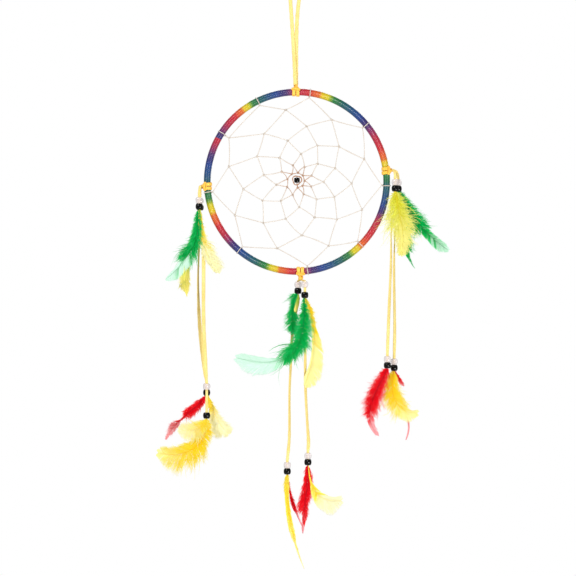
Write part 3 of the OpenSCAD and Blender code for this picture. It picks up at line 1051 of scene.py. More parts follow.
@dataclass
class Lace:
    """What every run of the flat lace has.

    Attributes:
        width: how wide it is where it hangs free.
        thickness: how thick it is.
        folded: how wide it is in a bead's bore, where it is folded.
        lead: how wide it is between a knot and the upper beads.
        start: how wide its pinched end is, where it starts in a bore.
        steps: how many steps each span between two stops is drawn in.
    """

    width: float = 0.0032
    thickness: float = 0.0008
    folded: float = 0.0023
    lead: float = 0.0022
    start: float = 0.0012
    steps: int = 9

    def sweep(self, solids: Solids, stops: np.ndarray, wide: np.ndarray, widths: np.ndarray) -> np.ndarray:
        """Adds one run of lace.

        Args:
            solids: what it is added to.
            stops: the stops of its middle.
            wide: the direction of its width at each stop.
            widths: its width at each stop.

        Returns:
            The points that its middle follows.
        """
        wide = np.broadcast_to(wide, stops.shape)
        widths = np.broadcast_to(widths, len(stops))
        rows = smooth(np.column_stack([stops, wide, widths]), self.steps)
        path, turned, width = rows[:, :3], rows[:, 3:6], rows[:, 6]
        length = np.concatenate([[0], np.cumsum(np.linalg.norm(np.diff(path, axis=0), axis=1))])
        uneven = 1 + 0.05 * np.sin(length * 900) + 0.04 * np.sin(length * 2300 + 1)
        solids.sweep(path, turned, width / 2 * uneven, self.thickness / 2, Section.BAND)
        return path


@dataclass
class HangingLoop:
    """The lace that carries the hoop: from the top knot up, over the peg and down again."""

    lace: Lace = field(default_factory=Lace)
    knot_x: float = -0.001
    foot: float = -0.0993
    apart: tuple[float, float] = (0.0004, 0.0006)
    route: tuple = (
        (-0.0022, -0.0006, -0.081), (-0.0034, -0.0003, -0.060), (-0.0046, 0, -0.042),
        (-0.0058, 0, -0.024), (-0.0065, 0, -0.013), (-0.0061, 0, -0.0065), (-0.0043, 0, -0.0016),
        (0, 0, 0), (0.0046, 0, -0.0016), (0.0061, 0, -0.0065), (0.005, 0, -0.013),
        (0.0022, 0, -0.024), (0.0002, 0, -0.042), (-0.0004, 0.0003, -0.060),
        (-0.0006, 0.0006, -0.081),
    )
    turned: tuple = (
        (1, 0.1, 0), (1, 0, 0), (1, 0, 0), (1, 0.4, 0), (0.6, 1, 0), (0.2, 1, 0), (0, 1, 0),
        (0, 1, 0), (0, 1, 0), (-0.2, 1, 0), (-0.6, 1, 0), (-1, 0.4, 0), (-1, 0, 0),
        (-1, 0, 0), (-1, 0.1, 0),
    )

    def build(self) -> None:
        lift = UP * self.lace.thickness / 2
        first = [self.knot_x - self.apart[0], -self.apart[1], self.foot]
        last = [self.knot_x + self.apart[0], self.apart[1], self.foot]
        stops = np.vstack([first, np.array(self.route) + lift, last])
        wide = np.vstack([[1, 0, 0], np.array(self.turned, float), [-1, 0, 0]])
        solids = Solids()
        path = self.lace.sweep(solids, stops, wide, self.lace.width)
        made = solids.piece("hanging_loop_lace", LACE, "hanging_loop", "hanging_loop")


@dataclass
class Knot:
    """A cow hitch of lace round the wound tube: two bands, a bar across them and a neck."""

    hoop: Hoop
    node: str
    body: str
    clock: float
    neck: float
    shift: float = 0.0
    twisted: bool = False
    band_width: float = 0.0029
    bar_width: float = 0.0022
    twist_width: float = 0.0016
    tail_widths: tuple = (0.0026, 0.0026, 0.0025, 0.0023)
    lace: Lace = field(default_factory=Lace)

    def build(self) -> None:
        """Makes the knot."""
        self.out = self.hoop.out(self.clock)
        self.along = self.hoop.along(self.clock)
        self.centre = self.hoop.centre + self.hoop.mid_r * self.out + self.shift * ACROSS
        solids = Solids()
        for side in (-1, 1):
            self._band(solids, side)
            self._tail(solids, side)
        self._bar(solids)
        if self.twisted:
            self._twist(solids)
        solids.piece(f"{self.node}_hitch", KNOT_LACE, self.body, self.node)

    def _place(self, out: np.ndarray, front: np.ndarray, along: np.ndarray) -> np.ndarray:
        """Points at distances outwards, forwards and along the tube from the knot's middle."""
        out, front, along = (np.asarray(v, float)[..., None] for v in (out, front, along))
        return self.centre + out * self.out - front * BACK + along * self.along

    def _band(self, solids: Solids, side: int) -> None:
        """One turn of lace round the tube, its ends drawn together on the outer side."""
        share = np.linspace(-1, 1, 25)
        turned = np.radians(180 + 160 * share)
        radius = self.hoop.tube_r + 0.0005 + 0.00018 * np.sin(turned * 2 + side)
        apart = 0.00172 - 0.0005 * np.abs(share) ** 3
        path = self._place(radius * np.cos(turned), radius * np.sin(turned), side * apart)
        self.lace.sweep(solids, path, self.along, self.band_width)

    def _bar(self, solids: Solids) -> None:
        """The bight that lies across the two bands."""
        share = np.linspace(-1, 1, 9)
        rise = self.hoop.tube_r + 0.0019 - 0.0011 * np.abs(share) ** 2.5
        turned = math.radians(58) + 0.1 * share
        path = self._place(rise * np.cos(turned), rise * np.sin(turned), share * 0.0036)
        tilt = self._place(-np.sin(turned), np.cos(turned), 0 * share) - self.centre
        self.lace.sweep(solids, path, tilt, self.bar_width)

    def _tail(self, solids: Solids, side: int) -> None:
        """One end of the lace, from beneath the bar out to the neck's end."""
        r = self.hoop.tube_r
        out = np.array([0.45 * r, 0.8 * r, r + 0.0006, self.neck])
        front = np.array([0.95 * r, 0.78 * r, 0.0012 * side + 0.0009, 0.0007 * side])
        along = side * np.array([0.0014, 0.0012, 0.0009, 0.0004])
        wide = [self.along, self.along, self.along + 0.4 * BACK * side, self.along * 0.7 + BACK * 0.3]
        path = self._place(out, front, along)
        self.lace.sweep(solids, path, np.array(wide), np.array(self.tail_widths))

    def _twist(self, solids: Solids) -> None:
        """The lace's twist round the neck, above the beads."""
        turned = np.linspace(0, 1.6 * TAU, 15)
        out = np.linspace(self.hoop.tube_r + 0.0008, self.neck - 0.0002, 15)
        radius = 0.00165 + 0.0002 * np.sin(turned * 1.7)
        path = self._place(out, radius * np.cos(turned), radius * np.sin(turned))
        self.lace.sweep(solids, path, self.out, self.twist_width)


@dataclass
class Strand:
    """One run of a pendant's folded lace, in front of the hoop or behind it, with its beads.

    Attributes:
        frame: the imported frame.
        side: the pendant that it is in: left, bottom or right.
        which: front or back.
        lead: its stops between the knot and the upper beads, as (x, outwards, z) from the knot.
        route: its stops below the upper beads, as (x, z) from their foot, in millimetres too.
        upper_gap: the gap between its two upper beads.
        lower_gap: the gap between its two lower beads.
        turned: how far it is turned about its own length at each stop, in degrees.
        bead: its beads' sizes.
        lace: its lace's sizes.
    """

    frame: Frame
    side: str
    which: str
    lead: tuple
    route: tuple
    upper_gap: float = 0.0001
    lower_gap: float = 0.0001
    turned: tuple[float, ...] = ()
    bead: Bead = field(default_factory=Bead)
    lace: Lace = field(default_factory=Lace)

    def __post_init__(self) -> None:
        """Finds the strand's joint, which is at the foot of its upper beads."""
        self.upper_foot = self.frame.joint(f"{self.side}_{self.which}_sway")
        self.outward = 1.0 if self.which == "back" else -1.0
        beads = 2 * self.bead.height
        self.upper_top = self.upper_foot + UP * (beads + self.upper_gap)
        self.lower_top = self.upper_foot + self._flat(self.route[-1])
        self.lower_foot = self.lower_top - UP * (beads + self.lower_gap)
        self.body = f"{self.side}_{self.which}_strand"

    @staticmethod
    def _flat(place: tuple[float, float]) -> np.ndarray:
        """A place [x, z] in millimetres, in the plane of the strand."""
        return np.array([place[0], 0, place[1]]) * MM

    def upper_middles(self) -> tuple[np.ndarray, np.ndarray]:
        """The middles of the upper clear bead and the upper black bead."""
        half = UP * self.bead.height / 2
        return self.upper_top - half, self.upper_foot + half

    def add_upper_lace(self, solids: Solids, knot: np.ndarray, across: np.ndarray) -> None:
        """Adds the short run from the knot through the upper beads.

        Args:
            solids: what it is added to.
            knot: the middle of the tube where the pendant is tied.
            across: the direction of the lace's width where it leaves the knot.
        """
        lead = knot + np.array([[x, self.outward * y, z] for x, y, z in self.lead]) * MM
        start = lead[0] + 0.0009 * unit(knot - lead[0])
        stops = np.vstack([start, lead, self.upper_top + UP * 0.0002, self.upper_foot + UP * 0.0003])
        wide = np.vstack([across, across, np.tile(ACROSS, (len(stops) - 2, 1))])
        widths = np.full(len(stops), self.lace.lead)
        widths[-2:] = self.lace.folded
        self.lace.sweep(solids, stops, wide, widths)

    def build(self) -> None:
        route = [self.upper_foot + self._flat(place) for place in self.route[:-1]]
        stops = np.vstack([
            self.upper_foot - 0.0008 * UP, self.upper_foot - 0.004 * UP, *route,
            self.lower_top + 0.0002 * UP, self.lower_foot + 0.0003 * UP,
        ])
        widths = np.full(len(stops), self.lace.width)
        widths[0] = self.lace.start
        widths[-2:] = self.lace.folded
        turned = np.zeros(len(stops))
        turned[2 : 2 + len(self.turned)] = np.radians(self.turned)
        wide = np.cos(turned)[:, None] * ACROSS + np.sin(turned)[:, None] * BACK
        solids = Solids()
        path = self.lace.sweep(solids, stops, wide, widths)
        name = f"{self.side}_{self.which}"
        made = solids.piece(f"{name}_strand_lace", LACE, self.body, f"{name}_lace")
        half = UP * self.bead.height / 2
        clear, black = self.lower_top - half, self.lower_foot + half
        beads = [
            Bead(finish=CLEAR).build(f"{name}_clear_barrel", clear, self.body, f"{name}_clear_bead"),
            Bead(finish=BLACK).build(f"{name}_black_barrel", black, self.body, f"{name}_black_bead"),
        ]


# ---------------------------------------------------------------- feathers


class Foot(Enum):
    """Which beads of a strand a feather's quill is jammed in."""

    UPPER = "upper"
    LOWER = "lower"


class Luck(IntEnum):
    """What each column of a barb's random numbers unsettles."""

    REACH = 0
    ANGLE = 1
    LIFT = 2
    TONE = 3
    OPENING = 4


@dataclass
class Barbs:
    """The barbs down one side of a rachis, with one row or number for each barb.

    Attributes:
        side: 1 for the left of the rachis, -1 for its right.
        at: the share of the rachis that each leaves it at.
        toward: the same, drawn towards the middle of its clump.
        downy: 1 in the down, and 0 in the smooth vane.
        own: its own random numbers, a column for each Luck.
        shared: the random numbers of its clump.
    """

    side: int
    at: np.ndarray
    toward: np.ndarray
    downy: np.ndarray
    own: np.ndarray
    shared: np.ndarray

    def mess(self, kind: Luck, shared: np.ndarray, own: np.ndarray) -> np.ndarray:
        """A kind of disorder: so much of the clump's, and so much of the barb's own."""
        return shared * self.shared[:, kind] + own * self.own[:, kind]


@dataclass
class Feather:
    """One dyed feather: a tapering rachis and rows of barbs, downy first and smooth at the end.

    Attributes:
        node: the frame's node that it stands for.
        finish: its dye.
        which: the strand whose beads hold it: front or back.
        foot: which of that strand's beads those are.
        layer: how many layers out it lies: above 0 away from the hoop's plane, below 0 towards it.
        root_x: how far its quill is to the right of its bead's middle, in millimetres.
        spine: where its rachis heads for, is drawn to and ends, as (x, z) in millimetres.
        outline: (share of the run, width on the left, width on the right) in millimetres, where
            left is the viewer's left when the feather points down.
        down: the share of the run that is downy.
        fade: the shares of the run between which its dye fades.
        wild: how untidy its barbs are.
        bow: how far its tip bends out, in millimetres.
        dive: how far it goes out soon after its bead, in millimetres.
        splay: its barbs' angles to the rachis at the bead and at the tip, in degrees.
        pitch: the room that one barb takes along the rachis, in millimetres.
        quill_in: how far its quill is from the middle of the bore.
        layer_step: how far apart two layers are.
        quill_r: its quill's radius.
        grip: how far its quill goes up in the bore.
        taper: how thick a barb is at even steps along it.
    """

    node: str
    finish: DyedFeather
    which: str
    foot: Foot
    layer: int
    root_x: float
    spine: tuple
    outline: tuple
    down: float = 0.55
    fade: tuple[float, float] = (0.6, 0.8)
    wild: float = 1.0
    bow: float = 2.0
    dive: float = 0.0
    splay: tuple[float, float] = (48.0, 20.0)
    pitch: float = 0.15
    quill_in: float = 0.00105
    layer_step: float = 0.00105
    quill_r: float = 0.0003
    grip: float = 0.0025
    taper: tuple = (0.7, 1.0, 1.0, 0.85, 0.6, 0.16)

    def build(self, strand: Strand, seed: int) -> None:
        """Makes the feather.

        Args:
            strand: the strand whose beads hold it.
            seed: what its own disorder is drawn from.
        """
        self.rng = np.random.default_rng(seed)
        foot = strand.upper_foot if self.foot is Foot.UPPER else strand.lower_foot
        self.outward = strand.outward * math.copysign(1, self.layer)
        self.root = foot + np.array([self.root_x * MM, self.outward * self.quill_in, 0])
        solids = Solids()
        self._rachis(solids)
        self._barbs(solids, 1)
        self._barbs(solids, -1)
        body = f"{strand.side}_pendant" if self.foot is Foot.UPPER else strand.body
        solids.piece(f"{self.node}_plume", self.finish, body, self.node)

    def _spine(self, share: np.ndarray) -> tuple[np.ndarray, np.ndarray, np.ndarray]:
        """The rachis at shares of its run.

        Args:
            share: from 0 at the bead to 1 at the tip.

        Returns:
            Its points, its directions and the directions square to them in the vane.
        """
        t = np.asarray(share)[..., None]
        a, b, c = (np.array([x, 0, z]) * MM for x, z in self.spine)
        point = 3 * (1 - t) ** 2 * t * a + 3 * (1 - t) * t**2 * b + t**3 * c
        slope = 3 * (1 - t) ** 2 * a + 6 * (1 - t) * t * (b - a) + 3 * t**2 * (c - b)
        step = (abs(self.layer) - 1) * self.layer_step * np.clip(t / 0.12, 0, 1)
        lifted = self.outward * (step + self.bow * MM * t**2 + self.dive * MM * (1 - (1 - t) ** 4))
        ahead = unit(slope)
        side = np.stack([ahead[..., 2], 0 * ahead[..., 0], -ahead[..., 0]], axis=-1)
        return self.root + point + lifted * BACK, ahead, side

    def _fading(self, share: np.ndarray) -> np.ndarray:
        """How far the colour has turned to the tip's, at shares of the run."""
        low, high = self.fade
        return np.clip((share - low) / (high - low), 0, 1)

    def _rachis(self, solids: Solids) -> None:
        """The quill in the bead and the rachis beyond it."""
        share = np.linspace(0, 1, 36)
        path, _, side = self._spine(share)
        above = path[0] + UP * np.array([[self.grip], [self.grip / 2]])
        path = np.vstack([above, path])
        side = np.vstack([side[:1], side[:1], side])
        share = np.concatenate([[0, 0], share])
        radius = self.quill_r * (1 - 0.68 * share)
        fade, quill = self._fading(share), np.ones(len(share))
        solids.sweep(path, side, radius, radius, Section.YARN, quill=quill, fade=fade)

    def _clumps(self, side: int, length: float) -> Barbs:
        """Where one side's barbs leave the rachis, and how they draw together in clumps.

        Args:
            side: 1 for the left of the rachis, -1 for its right.
            length: the rachis's length.

        Returns:
            The barbs.
        """
        rng = self.rng
        count = int(length / MM / self.pitch)
        more = rng.random(int(count * self.down)) * self.down
        at = np.sort(np.concatenate([np.linspace(0.0, 0.995, count), more]))
        downy = np.clip((self.down + 0.05 - at) / 0.1, 0, 1)
        clump = np.cumsum(rng.random(len(at)) < 0.06 + 0.2 * downy)
        middle = np.array([at[clump == c].mean() for c in clump])
        own = rng.normal(size=(len(at), len(Luck)))
        shared = rng.normal(size=(clump[-1] + 1, len(Luck)))[clump]
        close = 0.12 + 0.3 * downy
        return Barbs(side, at, at * (1 - close) + middle * close, downy, own, shared)

    def _reach(self, barbs: Barbs) -> np.ndarray:
        """How far each barb's tip is from the rachis."""
        toward, downy = barbs.toward, barbs.downy
        shares, left, right = np.array(self.outline, float).T
        reach = np.interp(toward, shares, left if barbs.side > 0 else right) * (1.1 - 0.02 * downy) * MM
        reach = reach * np.sqrt(np.clip(1 - np.clip((toward - 0.88) / 0.14, 0, 1) ** 2, 0.04, 1))
        for luck, spread in ((barbs.shared, 0.03 + 0.12 * downy), (barbs.own, 0.02 + 0.13 * downy)):
            reach = reach * (1 + self.wild * spread * luck[:, Luck.REACH].clip(-2, 1.6))
        stray = (self.rng.random(len(toward)) < 0.04) * downy * self.wild
        return np.maximum(reach * (1 + 0.3 * stray) + 0.5 * MM * stray, 0.25 * MM)

    def _angle(self, barbs: Barbs) -> np.ndarray:
        """The angle of each barb to the rachis, in radians."""
        first, last = np.radians(self.splay)
        angle = first + (last - first) * np.clip(barbs.toward, 0, 1)
        mess = barbs.mess(Luck.ANGLE, 1 + 7 * barbs.downy, 0.6 + 9 * barbs.downy)
        return np.clip(angle + np.radians(self.wild * mess), math.radians(10), math.radians(95))

    def _barbs(self, solids: Solids, side: int) -> None:
        """Adds one side's barbs, each bent from the rachis to its tip.

        Args:
            solids: what they are added to.
            side: 1 for the left of the rachis, -1 for its right.
        """
        points, _, _ = self._spine(np.linspace(0, 1, 60))
        length = np.linalg.norm(np.diff(points, axis=0), axis=1).sum()
        barbs = self._clumps(side, length)
        toward, downy = barbs.toward, barbs.downy
        reach, angle = self._reach(barbs), self._angle(barbs)
        run = reach / np.maximum(np.sin(angle), 0.45)
        run = np.minimum(run, (1.04 - toward) * length / np.cos(angle).clip(0.3) + 1.5 * MM)
        base, _, _ = self._spine(barbs.at)
        start, ahead, out = self._spine(np.clip(toward - 0.3 * run / length, 0, 1))
        opened = angle + np.radians(13 + 14 * downy * barbs.own[:, Luck.OPENING])
        early, lean = (
            np.cos(turned)[:, None] * ahead + side * np.sin(turned)[:, None] * out
            for turned in (opened, angle)
        )
        lift = barbs.mess(Luck.LIFT, 0.05 + 0.3 * downy, 0.03 + 0.9 * downy) * self.wild * MM
        lift = self.outward * 0.08 * reach + np.clip(lift, -1.8 * MM, 1.8 * MM)
        tip = start + run[:, None] * lean + lift[:, None] * BACK
        bend = base + 0.5 * run[:, None] * early + 0.3 * lift[:, None] * BACK
        t = np.linspace(0, 1, len(self.taper))[None, :, None]
        path = (1 - t) ** 2 * base[:, None] + 2 * (1 - t) * t * bend[:, None] + t**2 * tip[:, None]
        self._draw(solids, barbs, path, np.cross(lean, BACK)[:, None])

    def _draw(self, solids: Solids, barbs: Barbs, path: np.ndarray, wide: np.ndarray) -> None:
        """Adds barbs as tapering blades, with how far they have faded and how they differ.

        Args:
            solids: what they are added to.
            barbs: the barbs.
            path: the points that each follows.
            wide: the direction of each one's width.
        """
        thick = (0.2 - 0.03 * barbs.downy)[:, None] * MM
        uneven = np.clip(1 + 0.2 * barbs.own[:, [Luck.TONE]], 0.6, 1.5)
        half_width = thick * np.array(self.taper) * uneven
        every = np.ones_like(half_width)
        solids.sweep(
            path, wide, half_width, half_width * 0.4, Section.BLADE,
            fade=self._fading(barbs.toward + 0.07 * barbs.shared[:, Luck.TONE])[:, None] * every,
            reach=np.linspace(0, 1, len(self.taper)) * every,
            hair=self.rng.random((len(path), 1)) * every,
        )


@dataclass
class Pendant:
    """A folded lace tied to the hoop: two strands, their beads and their feathers."""

    hoop: Hoop
    side: str
    clock: float
    across: tuple[float, float, float]
    strands: dict[str, Strand]
    upper_blacks: tuple[str, ...]
    feathers: tuple[Feather, ...]
    first_seed: int

    def build_laces(self) -> None:
        """Makes the long runs of lace, which come before everything but the camera."""
        for strand in self.strands.values():
            strand.build()

    def build(self) -> None:
        """Makes the upper laces, the upper beads and every feather."""
        knot = self.hoop.centre + self.hoop.mid_r * self.hoop.out(self.clock)
        body = f"{self.side}_pendant"
        laces, clears = Solids(), Solids()
        for strand in self.strands.values():
            strand.add_upper_lace(laces, knot, np.array(self.across))
            Bead(finish=CLEAR).add(clears, strand.upper_middles()[0])
        laces.piece(f"{self.side}_upper_lace_runs", LACE, body, f"{self.side}_upper_laces")
        clears.piece(f"{self.side}_upper_clear_barrels", CLEAR, body, f"{self.side}_upper_clear_beads")
        for strand in self.strands.values():
            Bead(finish=BLACK).build(
                f"{self.side}_upper_{strand.which}_black_barrel", strand.upper_middles()[1], body,
                *self._black_nodes(strand.which),
            )
        for number, feather in enumerate(self.feathers):
            feather.build(self.strands[feather.which], self.first_seed + number)

    def _black_nodes(self, which: str) -> tuple[str, ...]:
        """The frame's nodes that one upper black bead stands for."""
        if len(self.upper_blacks) == 1:
            return self.upper_blacks
        return tuple(name for name in self.upper_blacks if which in name)


def left_pendant(frame: Frame, hoop: Hoop) -> Pendant:
    """The pendant on the left of the hoop, its upper and lower feathers with it."""
    front = Strand(
        frame, "left", "front", ((-5.1, 0.7, 0.3), (-5.9, 1, 0.1), (-6.5, 1.8, -1.8), (-6.9, 2.8, -5.6)),
        ((2.2, -16), (3.6, -34), (3.8, -94), (5.3, -129), (6.4, -149)), lower_gap=0.0196,
        turned=(25, 25, 25, 15),
    )
    back = Strand(
        frame, "left", "back", ((-5.1, 0.7, 0.2), (-5.7, 1, 0), (-6.1, 1.8, -2), (-6.3, 2.8, -6)),
        ((-1.2, -38), (-1.8, -64), (0, -104), (4, -138), (5.6, -148.6)),
        turned=(72, 66, 15, 0),
    )
    upper, lower = Foot.UPPER, Foot.LOWER
    feathers = (
        Feather("left_green_feather", GREEN, "front", upper, 2, -0.45,
                ((0, -26), (-2, -36), (-28, -60)),
                ((0, 1.8, 1.2), (0.1, 3.6, 2.2), (0.35, 4.8, 3.6), (0.46, 5, 4.4), (0.52, 9.5, 5),
                 (0.6, 7.5, 6), (0.68, 3, 5.4), (0.85, 1.8, 6), (0.95, 1.6, 4), (1, 1, 1.4)),
                down=0.62, fade=(0.6, 0.76), wild=1.2),
        Feather("left_two_colour_feather", TWO_COLOUR, "back", upper, 1, -0.45,
                ((-3, -25), (-17, -46), (-11, -74)),
                ((0, 1, 1), (0.4, 2.5, 2.5), (0.6, 3.2, 3), (0.8, 4.2, 4), (0.88, 3, 3), (0.93, 1, 1.6),
                 (1, 0.3, 0.5)),
                down=1.0, fade=(0.6, 0.72), wild=0.7),
        Feather("left_yellow_feather", YELLOW, "front", upper, 1, 0.45,
                ((2, -22), (2, -38), (15, -54)),
                ((0, 0.8, 0.9), (0.15, 1.5, 1.5), (0.35, 2.4, 2.6), (0.45, 2.6, 6), (0.6, 3, 9.5),
                 (0.8, 2, 7.4), (1, 1, 3)),
                down=1.0, fade=(0.36, 0.6), wild=1.2, splay=(42, 30)),
        Feather("left_front_yellow_feather", GOLDEN, "front", lower, 1, -0.45,
                ((1, -22), (-14, -35), (-41, -29)),
                ((0, 2, 2), (0.07, 5, 4.4), (0.3, 8.4, 6.4), (0.45, 9, 9.4), (0.6, 8, 11), (0.75, 7, 11),
                 (0.9, 6, 9.4), (1, 5, 7)),
                down=0.9, fade=(0.45, 1.2), splay=(50, 30), wild=0.9),
        Feather("left_front_curled_feather", YELLOW, "front", lower, 2, 0.45,
                ((-3, -7), (-12, -12), (-24, -9)),
                ((0, 0.8, 0.8), (0.2, 5, 4.4), (0.5, 8, 8), (0.8, 7, 8), (1, 3, 4)),
                down=1.0, fade=(0.2, 1.0), splay=(56, 34)),
        Feather("left_back_red_feather", RED, "back", lower, 1, -0.45,
                ((-8, -12), (-24, -18), (-35, -38)),
                ((0, 1, 1), (0.1, 3, 3), (0.3, 3.6, 3.8), (0.46, 3.8, 3.8), (0.52, 1, 1.2),
                 (0.64, 0.6, 0.7), (0.7, 3.4, 2.4), (0.8, 3.4, 2.4), (0.88, 2, 2), (1, 1, 1)),
                down=1.0, fade=(0.56, 0.9), splay=(26, 40), wild=0.9),
        Feather("left_back_yellow_feather", YELLOW, "back", lower, 2, 0.45,
                ((5, -12), (8, -24), (18, -33)),
                ((0, 1, 1), (0.3, 3.4, 2.4), (0.5, 7, 3.6), (0.7, 9, 5.4), (0.85, 9, 6), (1, 6, 4)),
                down=1.0, fade=(0.2, 0.6), splay=(40, 34)),
    )
    return Pendant(
        hoop, "left", LEFT_CLOCK, (0, 0.3, 1), {"front": front, "back": back}, ("left_upper_black_beads",),
        feathers, 100,
    )


def bottom_pendant(frame: Frame, hoop: Hoop) -> Pendant:
    """The pendant at the bottom of the hoop, its upper and lower feathers with it."""
    front = Strand(
        frame, "bottom", "front", ((1.2, 0.6, -7.4), (2.4, 1.8, -7.8), (3.4, 2.9, -8.2)),
        ((0.4, -35), (0.6, -76), (2.4, -110), (3.2, -124), (2.7, -132.6)), upper_gap=0.004,
        turned=(45, 50, 50, 30),
    )
    back = Strand(
        frame, "bottom", "back", ((-0.6, 0.6, -7.4), (-1.4, 1.8, -7.9), (-2, 2.9, -8.4)),
        ((-3, -20), (-4.6, -31), (-5.9, -57), (-7.2, -83), (-7.5, -125), (-9.2, -144.6)),
        turned=(40, 45, 52, 60, 45),
    )
    upper, lower = Foot.UPPER, Foot.LOWER
    feathers = (
        Feather("bottom_green_feather", GREEN, "front", upper, 2, -0.45,
                ((1.5, -44), (-10, -64), (-58, -51)),
                ((0, 1.4, 1.6), (0.05, 3, 3), (0.12, 5, 5.4), (0.25, 5.4, 7), (0.33, 5, 7.4),
                 (0.37, 9, 5.4), (0.41, 14, 4.6), (0.45, 5, 4.8), (0.51, 3.4, 5), (0.6, 2.2, 4),
                 (0.7, 5, 7), (0.8, 7, 8.6), (0.9, 6.6, 7.6), (1, 4, 4)),
                down=0.54, fade=(0.56, 0.7), wild=1.1),
        Feather("bottom_green_tuft", GREEN, "back", upper, -1, -0.45,
                ((-6, -8), (-4, -20), (-3.5, -34)),
                ((0, 1.4, 1), (0.08, 5, 1.2), (0.16, 2.2, 1.4), (0.4, 2.4, 2.6), (0.55, 5.4, 5),
                 (0.8, 5.6, 5), (0.93, 4.4, 4), (1, 2, 2)),
                down=1.0, fade=(0.95, 1.4), wild=1.1),
        Feather("bottom_small_feather", TWO_COLOUR, "back", upper, -2, 0.45,
                ((0, -5), (-2, -10), (-3, -15.5)),
                ((0, 0.5, 0.5), (0.4, 1.3, 1.3), (0.8, 1.3, 1.3), (1, 0.3, 0.3)),
                down=0.1, fade=(0.1, 0.9), splay=(36, 18)),
        Feather("bottom_yellow_feather", GOLDEN, "front", upper, 1, 0.45,
                ((10, -20), (10, -48), (-1, -75)),
                ((0, 0.8, 0.8), (0.15, 1.6, 1.8), (0.35, 1.6, 2.2), (0.45, 1.8, 5.4), (0.6, 1.4, 8),
                 (0.75, 1.3, 9), (0.88, 2.6, 7.4), (1, 0.6, 2)),
                down=0.3, fade=(0.3, 0.6), splay=(36, 28), wild=1.4),
        Feather("bottom_front_red_feather", RED, "front", lower, 1, -0.45,
                ((1, -20), (-4, -38), (-4, -58)),
                ((0, 1.4, 1.6), (0.08, 2.6, 3.6), (0.2, 3.4, 4.8), (0.4, 5.6, 4), (0.52, 6.2, 3.2),
                 (0.58, 5, 3.4), (0.62, 2, 3.6), (0.76, 1.4, 3), (0.9, 1.4, 1.6), (1, 0.6, 0.8)),
                down=0.7, fade=(0.6, 1.05), splay=(28, 15), wild=0.7),
        Feather("bottom_front_spoon_feather", YELLOW, "front", lower, 2, 0.45,
                ((1, -22), (9, -32), (28, -30)),
                ((0, 0.3, 0.3), (0.25, 0.7, 0.7), (0.4, 4, 4.4), (0.55, 6.6, 7), (0.7, 8, 6.6),
                 (0.85, 8, 5.6), (0.95, 6, 4), (1, 3, 2.4)),
                down=0.15, fade=(0.3, 0.8), splay=(46, 26)),
        Feather("bottom_back_yellow_feather", YELLOW, "back", lower, -1, -0.45,
                ((-1, -27), (4, -54), (15, -81)),
                ((0, 1.4, 1.6), (0.1, 2.2, 2.2), (0.3, 2.4, 2), (0.5, 3.2, 2.8), (0.62, 2.8, 2.6),
                 (0.7, 1.4, 1.4), (0.85, 1, 1), (1, 0.3, 0.3)),
                down=0.12, fade=(0.3, 1.3), splay=(24, 12)),
        Feather("bottom_back_red_feather", RED, "back", lower, 1, 0.45,
                ((1, -16), (5, -32), (14, -48)),
                ((0, 0.4, 0.4), (0.3, 0.8, 0.8), (0.5, 1.8, 1.8), (0.6, 1.5, 1.8), (0.7, 0.3, 1.6),
                 (0.85, 0.2, 1.2), (1, 0.15, 0.3)),
                down=0.5, fade=(0.6, 0.9), splay=(28, 16)),
    )
    return Pendant(
        hoop, "bottom", BOTTOM_CLOCK, (1, 0, 0), {"front": front, "back": back},
        ("bottom_upper_front_black_bead", "bottom_upper_back_black_bead"), feathers, 200,
    )


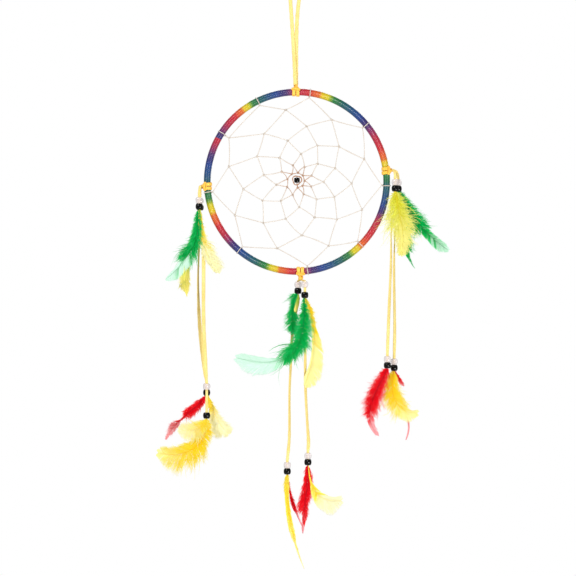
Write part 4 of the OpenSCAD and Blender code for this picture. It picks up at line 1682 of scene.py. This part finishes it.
def right_pendant(frame: Frame, hoop: Hoop) -> Pendant:
    """The pendant on the right of the hoop, its upper and lower feathers with it."""
    front = Strand(
        frame, "right", "front", ((5.1, 0.7, 0.3), (6.2, 1.1, 0.2), (7.2, 2, -1.2), (7.6, 2.9, -4)),
        ((-2, -15), (-3.4, -35), (-3.6, -60), (-5.6, -110), (-6.7, -141)),
        turned=(60, 78, 55, 40),
    )
    back = Strand(
        frame, "right", "back", ((5.1, 0.7, 0.4), (6.8, 1.1, 0.4), (8.8, 1.9, -0.6), (10.2, 2.9, -3.6)),
        ((-2, -18), (-3.2, -45), (-3.6, -65), (-3, -120), (-3.5, -143.4)),
        turned=(70, 80, 55, 40),
    )
    upper, lower = Foot.UPPER, Foot.LOWER
    feathers = (
        Feather("right_yellow_feather", LIME, "front", upper, 2, 0.45,
                ((1, -17), (10, -36), (4, -54)),
                ((0, 2, 2), (0.08, 6.4, 5), (0.3, 11, 8), (0.45, 9.4, 9.6), (0.56, 6.4, 8),
                 (0.7, 5, 5.4), (0.88, 4.4, 4.4), (1, 2.4, 2)),
                down=1.0, fade=(0.1, 0.9), wild=1.5),
        Feather("right_yellow_wisp", YELLOW, "front", upper, 1, -0.45,
                ((-1, -8), (-3.5, -17), (-5, -27)),
                ((0, 0.6, 0.6), (0.4, 2, 1.6), (0.7, 2.2, 1.6), (1, 0.3, 0.3)),
                down=1.0, fade=(0.2, 0.7)),
        Feather("right_green_feather", GREEN, "back", upper, 1, 0.45,
                ((7, -12), (15, -32), (43, -50)),
                ((0, 1.4, 1.4), (0.08, 4, 3), (0.25, 6, 5), (0.4, 8, 6), (0.5, 8.4, 6.4), (0.6, 5.4, 5.4),
                 (0.66, 3.4, 3), (0.75, 4.2, 3.4), (0.88, 5.8, 4), (1, 2.4, 2)),
                down=0.62, fade=(0.64, 1.1), wild=1.2),
        Feather("right_green_wisp", GREEN, "back", upper, 2, -0.45,
                ((4, -24), (3, -48), (15, -66)),
                ((0, 0.8, 0.8), (0.3, 2, 3.2), (0.5, 2.4, 6), (0.62, 2.2, 6), (0.72, 2.2, 1.8),
                 (0.82, 1.2, 1), (1, 0.3, 0.3)),
                down=0.7, fade=(0.75, 1.1)),
        Feather("right_front_red_feather", RED, "front", lower, 1, -0.45,
                ((-4, -14), (-24, -34), (-9, -57)),
                ((0, 1.6, 1.6), (0.08, 4, 3), (0.3, 5.4, 6), (0.5, 5, 7.4), (0.62, 4.6, 5),
                 (0.7, 3.4, 3), (0.8, 2, 4), (0.9, 1.4, 5.4), (1, 1, 3)),
                down=0.74, fade=(0.7, 0.86), wild=1.3),
        Feather("right_front_red_wisp", RED, "front", lower, -1, 0.45,
                ((2, -22), (26, -38), (16, -62)),
                ((0, 0.3, 0.3), (0.4, 0.5, 0.5), (0.5, 1.4, 0.9), (0.64, 1.2, 0.6), (0.8, 0.8, 0.7),
                 (1, 0.8, 0.8)),
                down=0.6, fade=(0.3, 0.8), dive=8.5),
        Feather("right_back_yellow_feather", GOLDEN, "back", lower, -1, -0.45,
                ((-3, -16), (-2, -36), (20, -36)),
                ((0, 1.6, 1.4), (0.08, 5, 4), (0.3, 7.4, 8), (0.5, 7.4, 8.6), (0.65, 5.4, 7),
                 (0.85, 6, 6.4), (1, 4.6, 4.6)),
                down=0.66, fade=(0.4, 0.95), splay=(42, 26), dive=2.5),
        Feather("right_back_red_feather", RED, "back", lower, 1, 0.45,
                ((2, -4), (4, -8), (8, -13)),
                ((0, 0.5, 0.5), (0.4, 1.2, 1.4), (0.7, 1.4, 1.6), (1, 0.5, 0.8)),
                down=1.0, fade=(0.5, 1.2)),
    )
    return Pendant(
        hoop, "right", RIGHT_CLOCK, (0, 0.3, 1), {"front": front, "back": back}, ("right_upper_black_beads",),
        feathers, 300,
    )


def main() -> None:
    """Builds the dream catcher round the frame, piece by piece."""
    logging.basicConfig(level=logging.INFO, format="%(message)s")
    frame = Frame(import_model())
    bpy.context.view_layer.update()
    Camera().build()
    HangingLoop().build()
    hoop = Hoop(frame)
    pendants = [make(frame, hoop) for make in (left_pendant, bottom_pendant, right_pendant)]
    for pendant in pendants:
        pendant.build_laces()
    hoop.build()
    Web(hoop).build()
    Knot(hoop, "top_knot", "top_knot", 0, 0.0064, shift=-0.001).build()
    Knot(hoop, "left_knot", "hoop", LEFT_CLOCK, 0.0047).build()
    Knot(hoop, "bottom_knot", "hoop", BOTTOM_CLOCK, 0.0072, twisted=True).build()
    Knot(hoop, "right_knot", "hoop", RIGHT_CLOCK, 0.0047).build()
    for pendant in pendants:
        pendant.build()
    Studio().build()


if __name__ == "__main__":
    main()
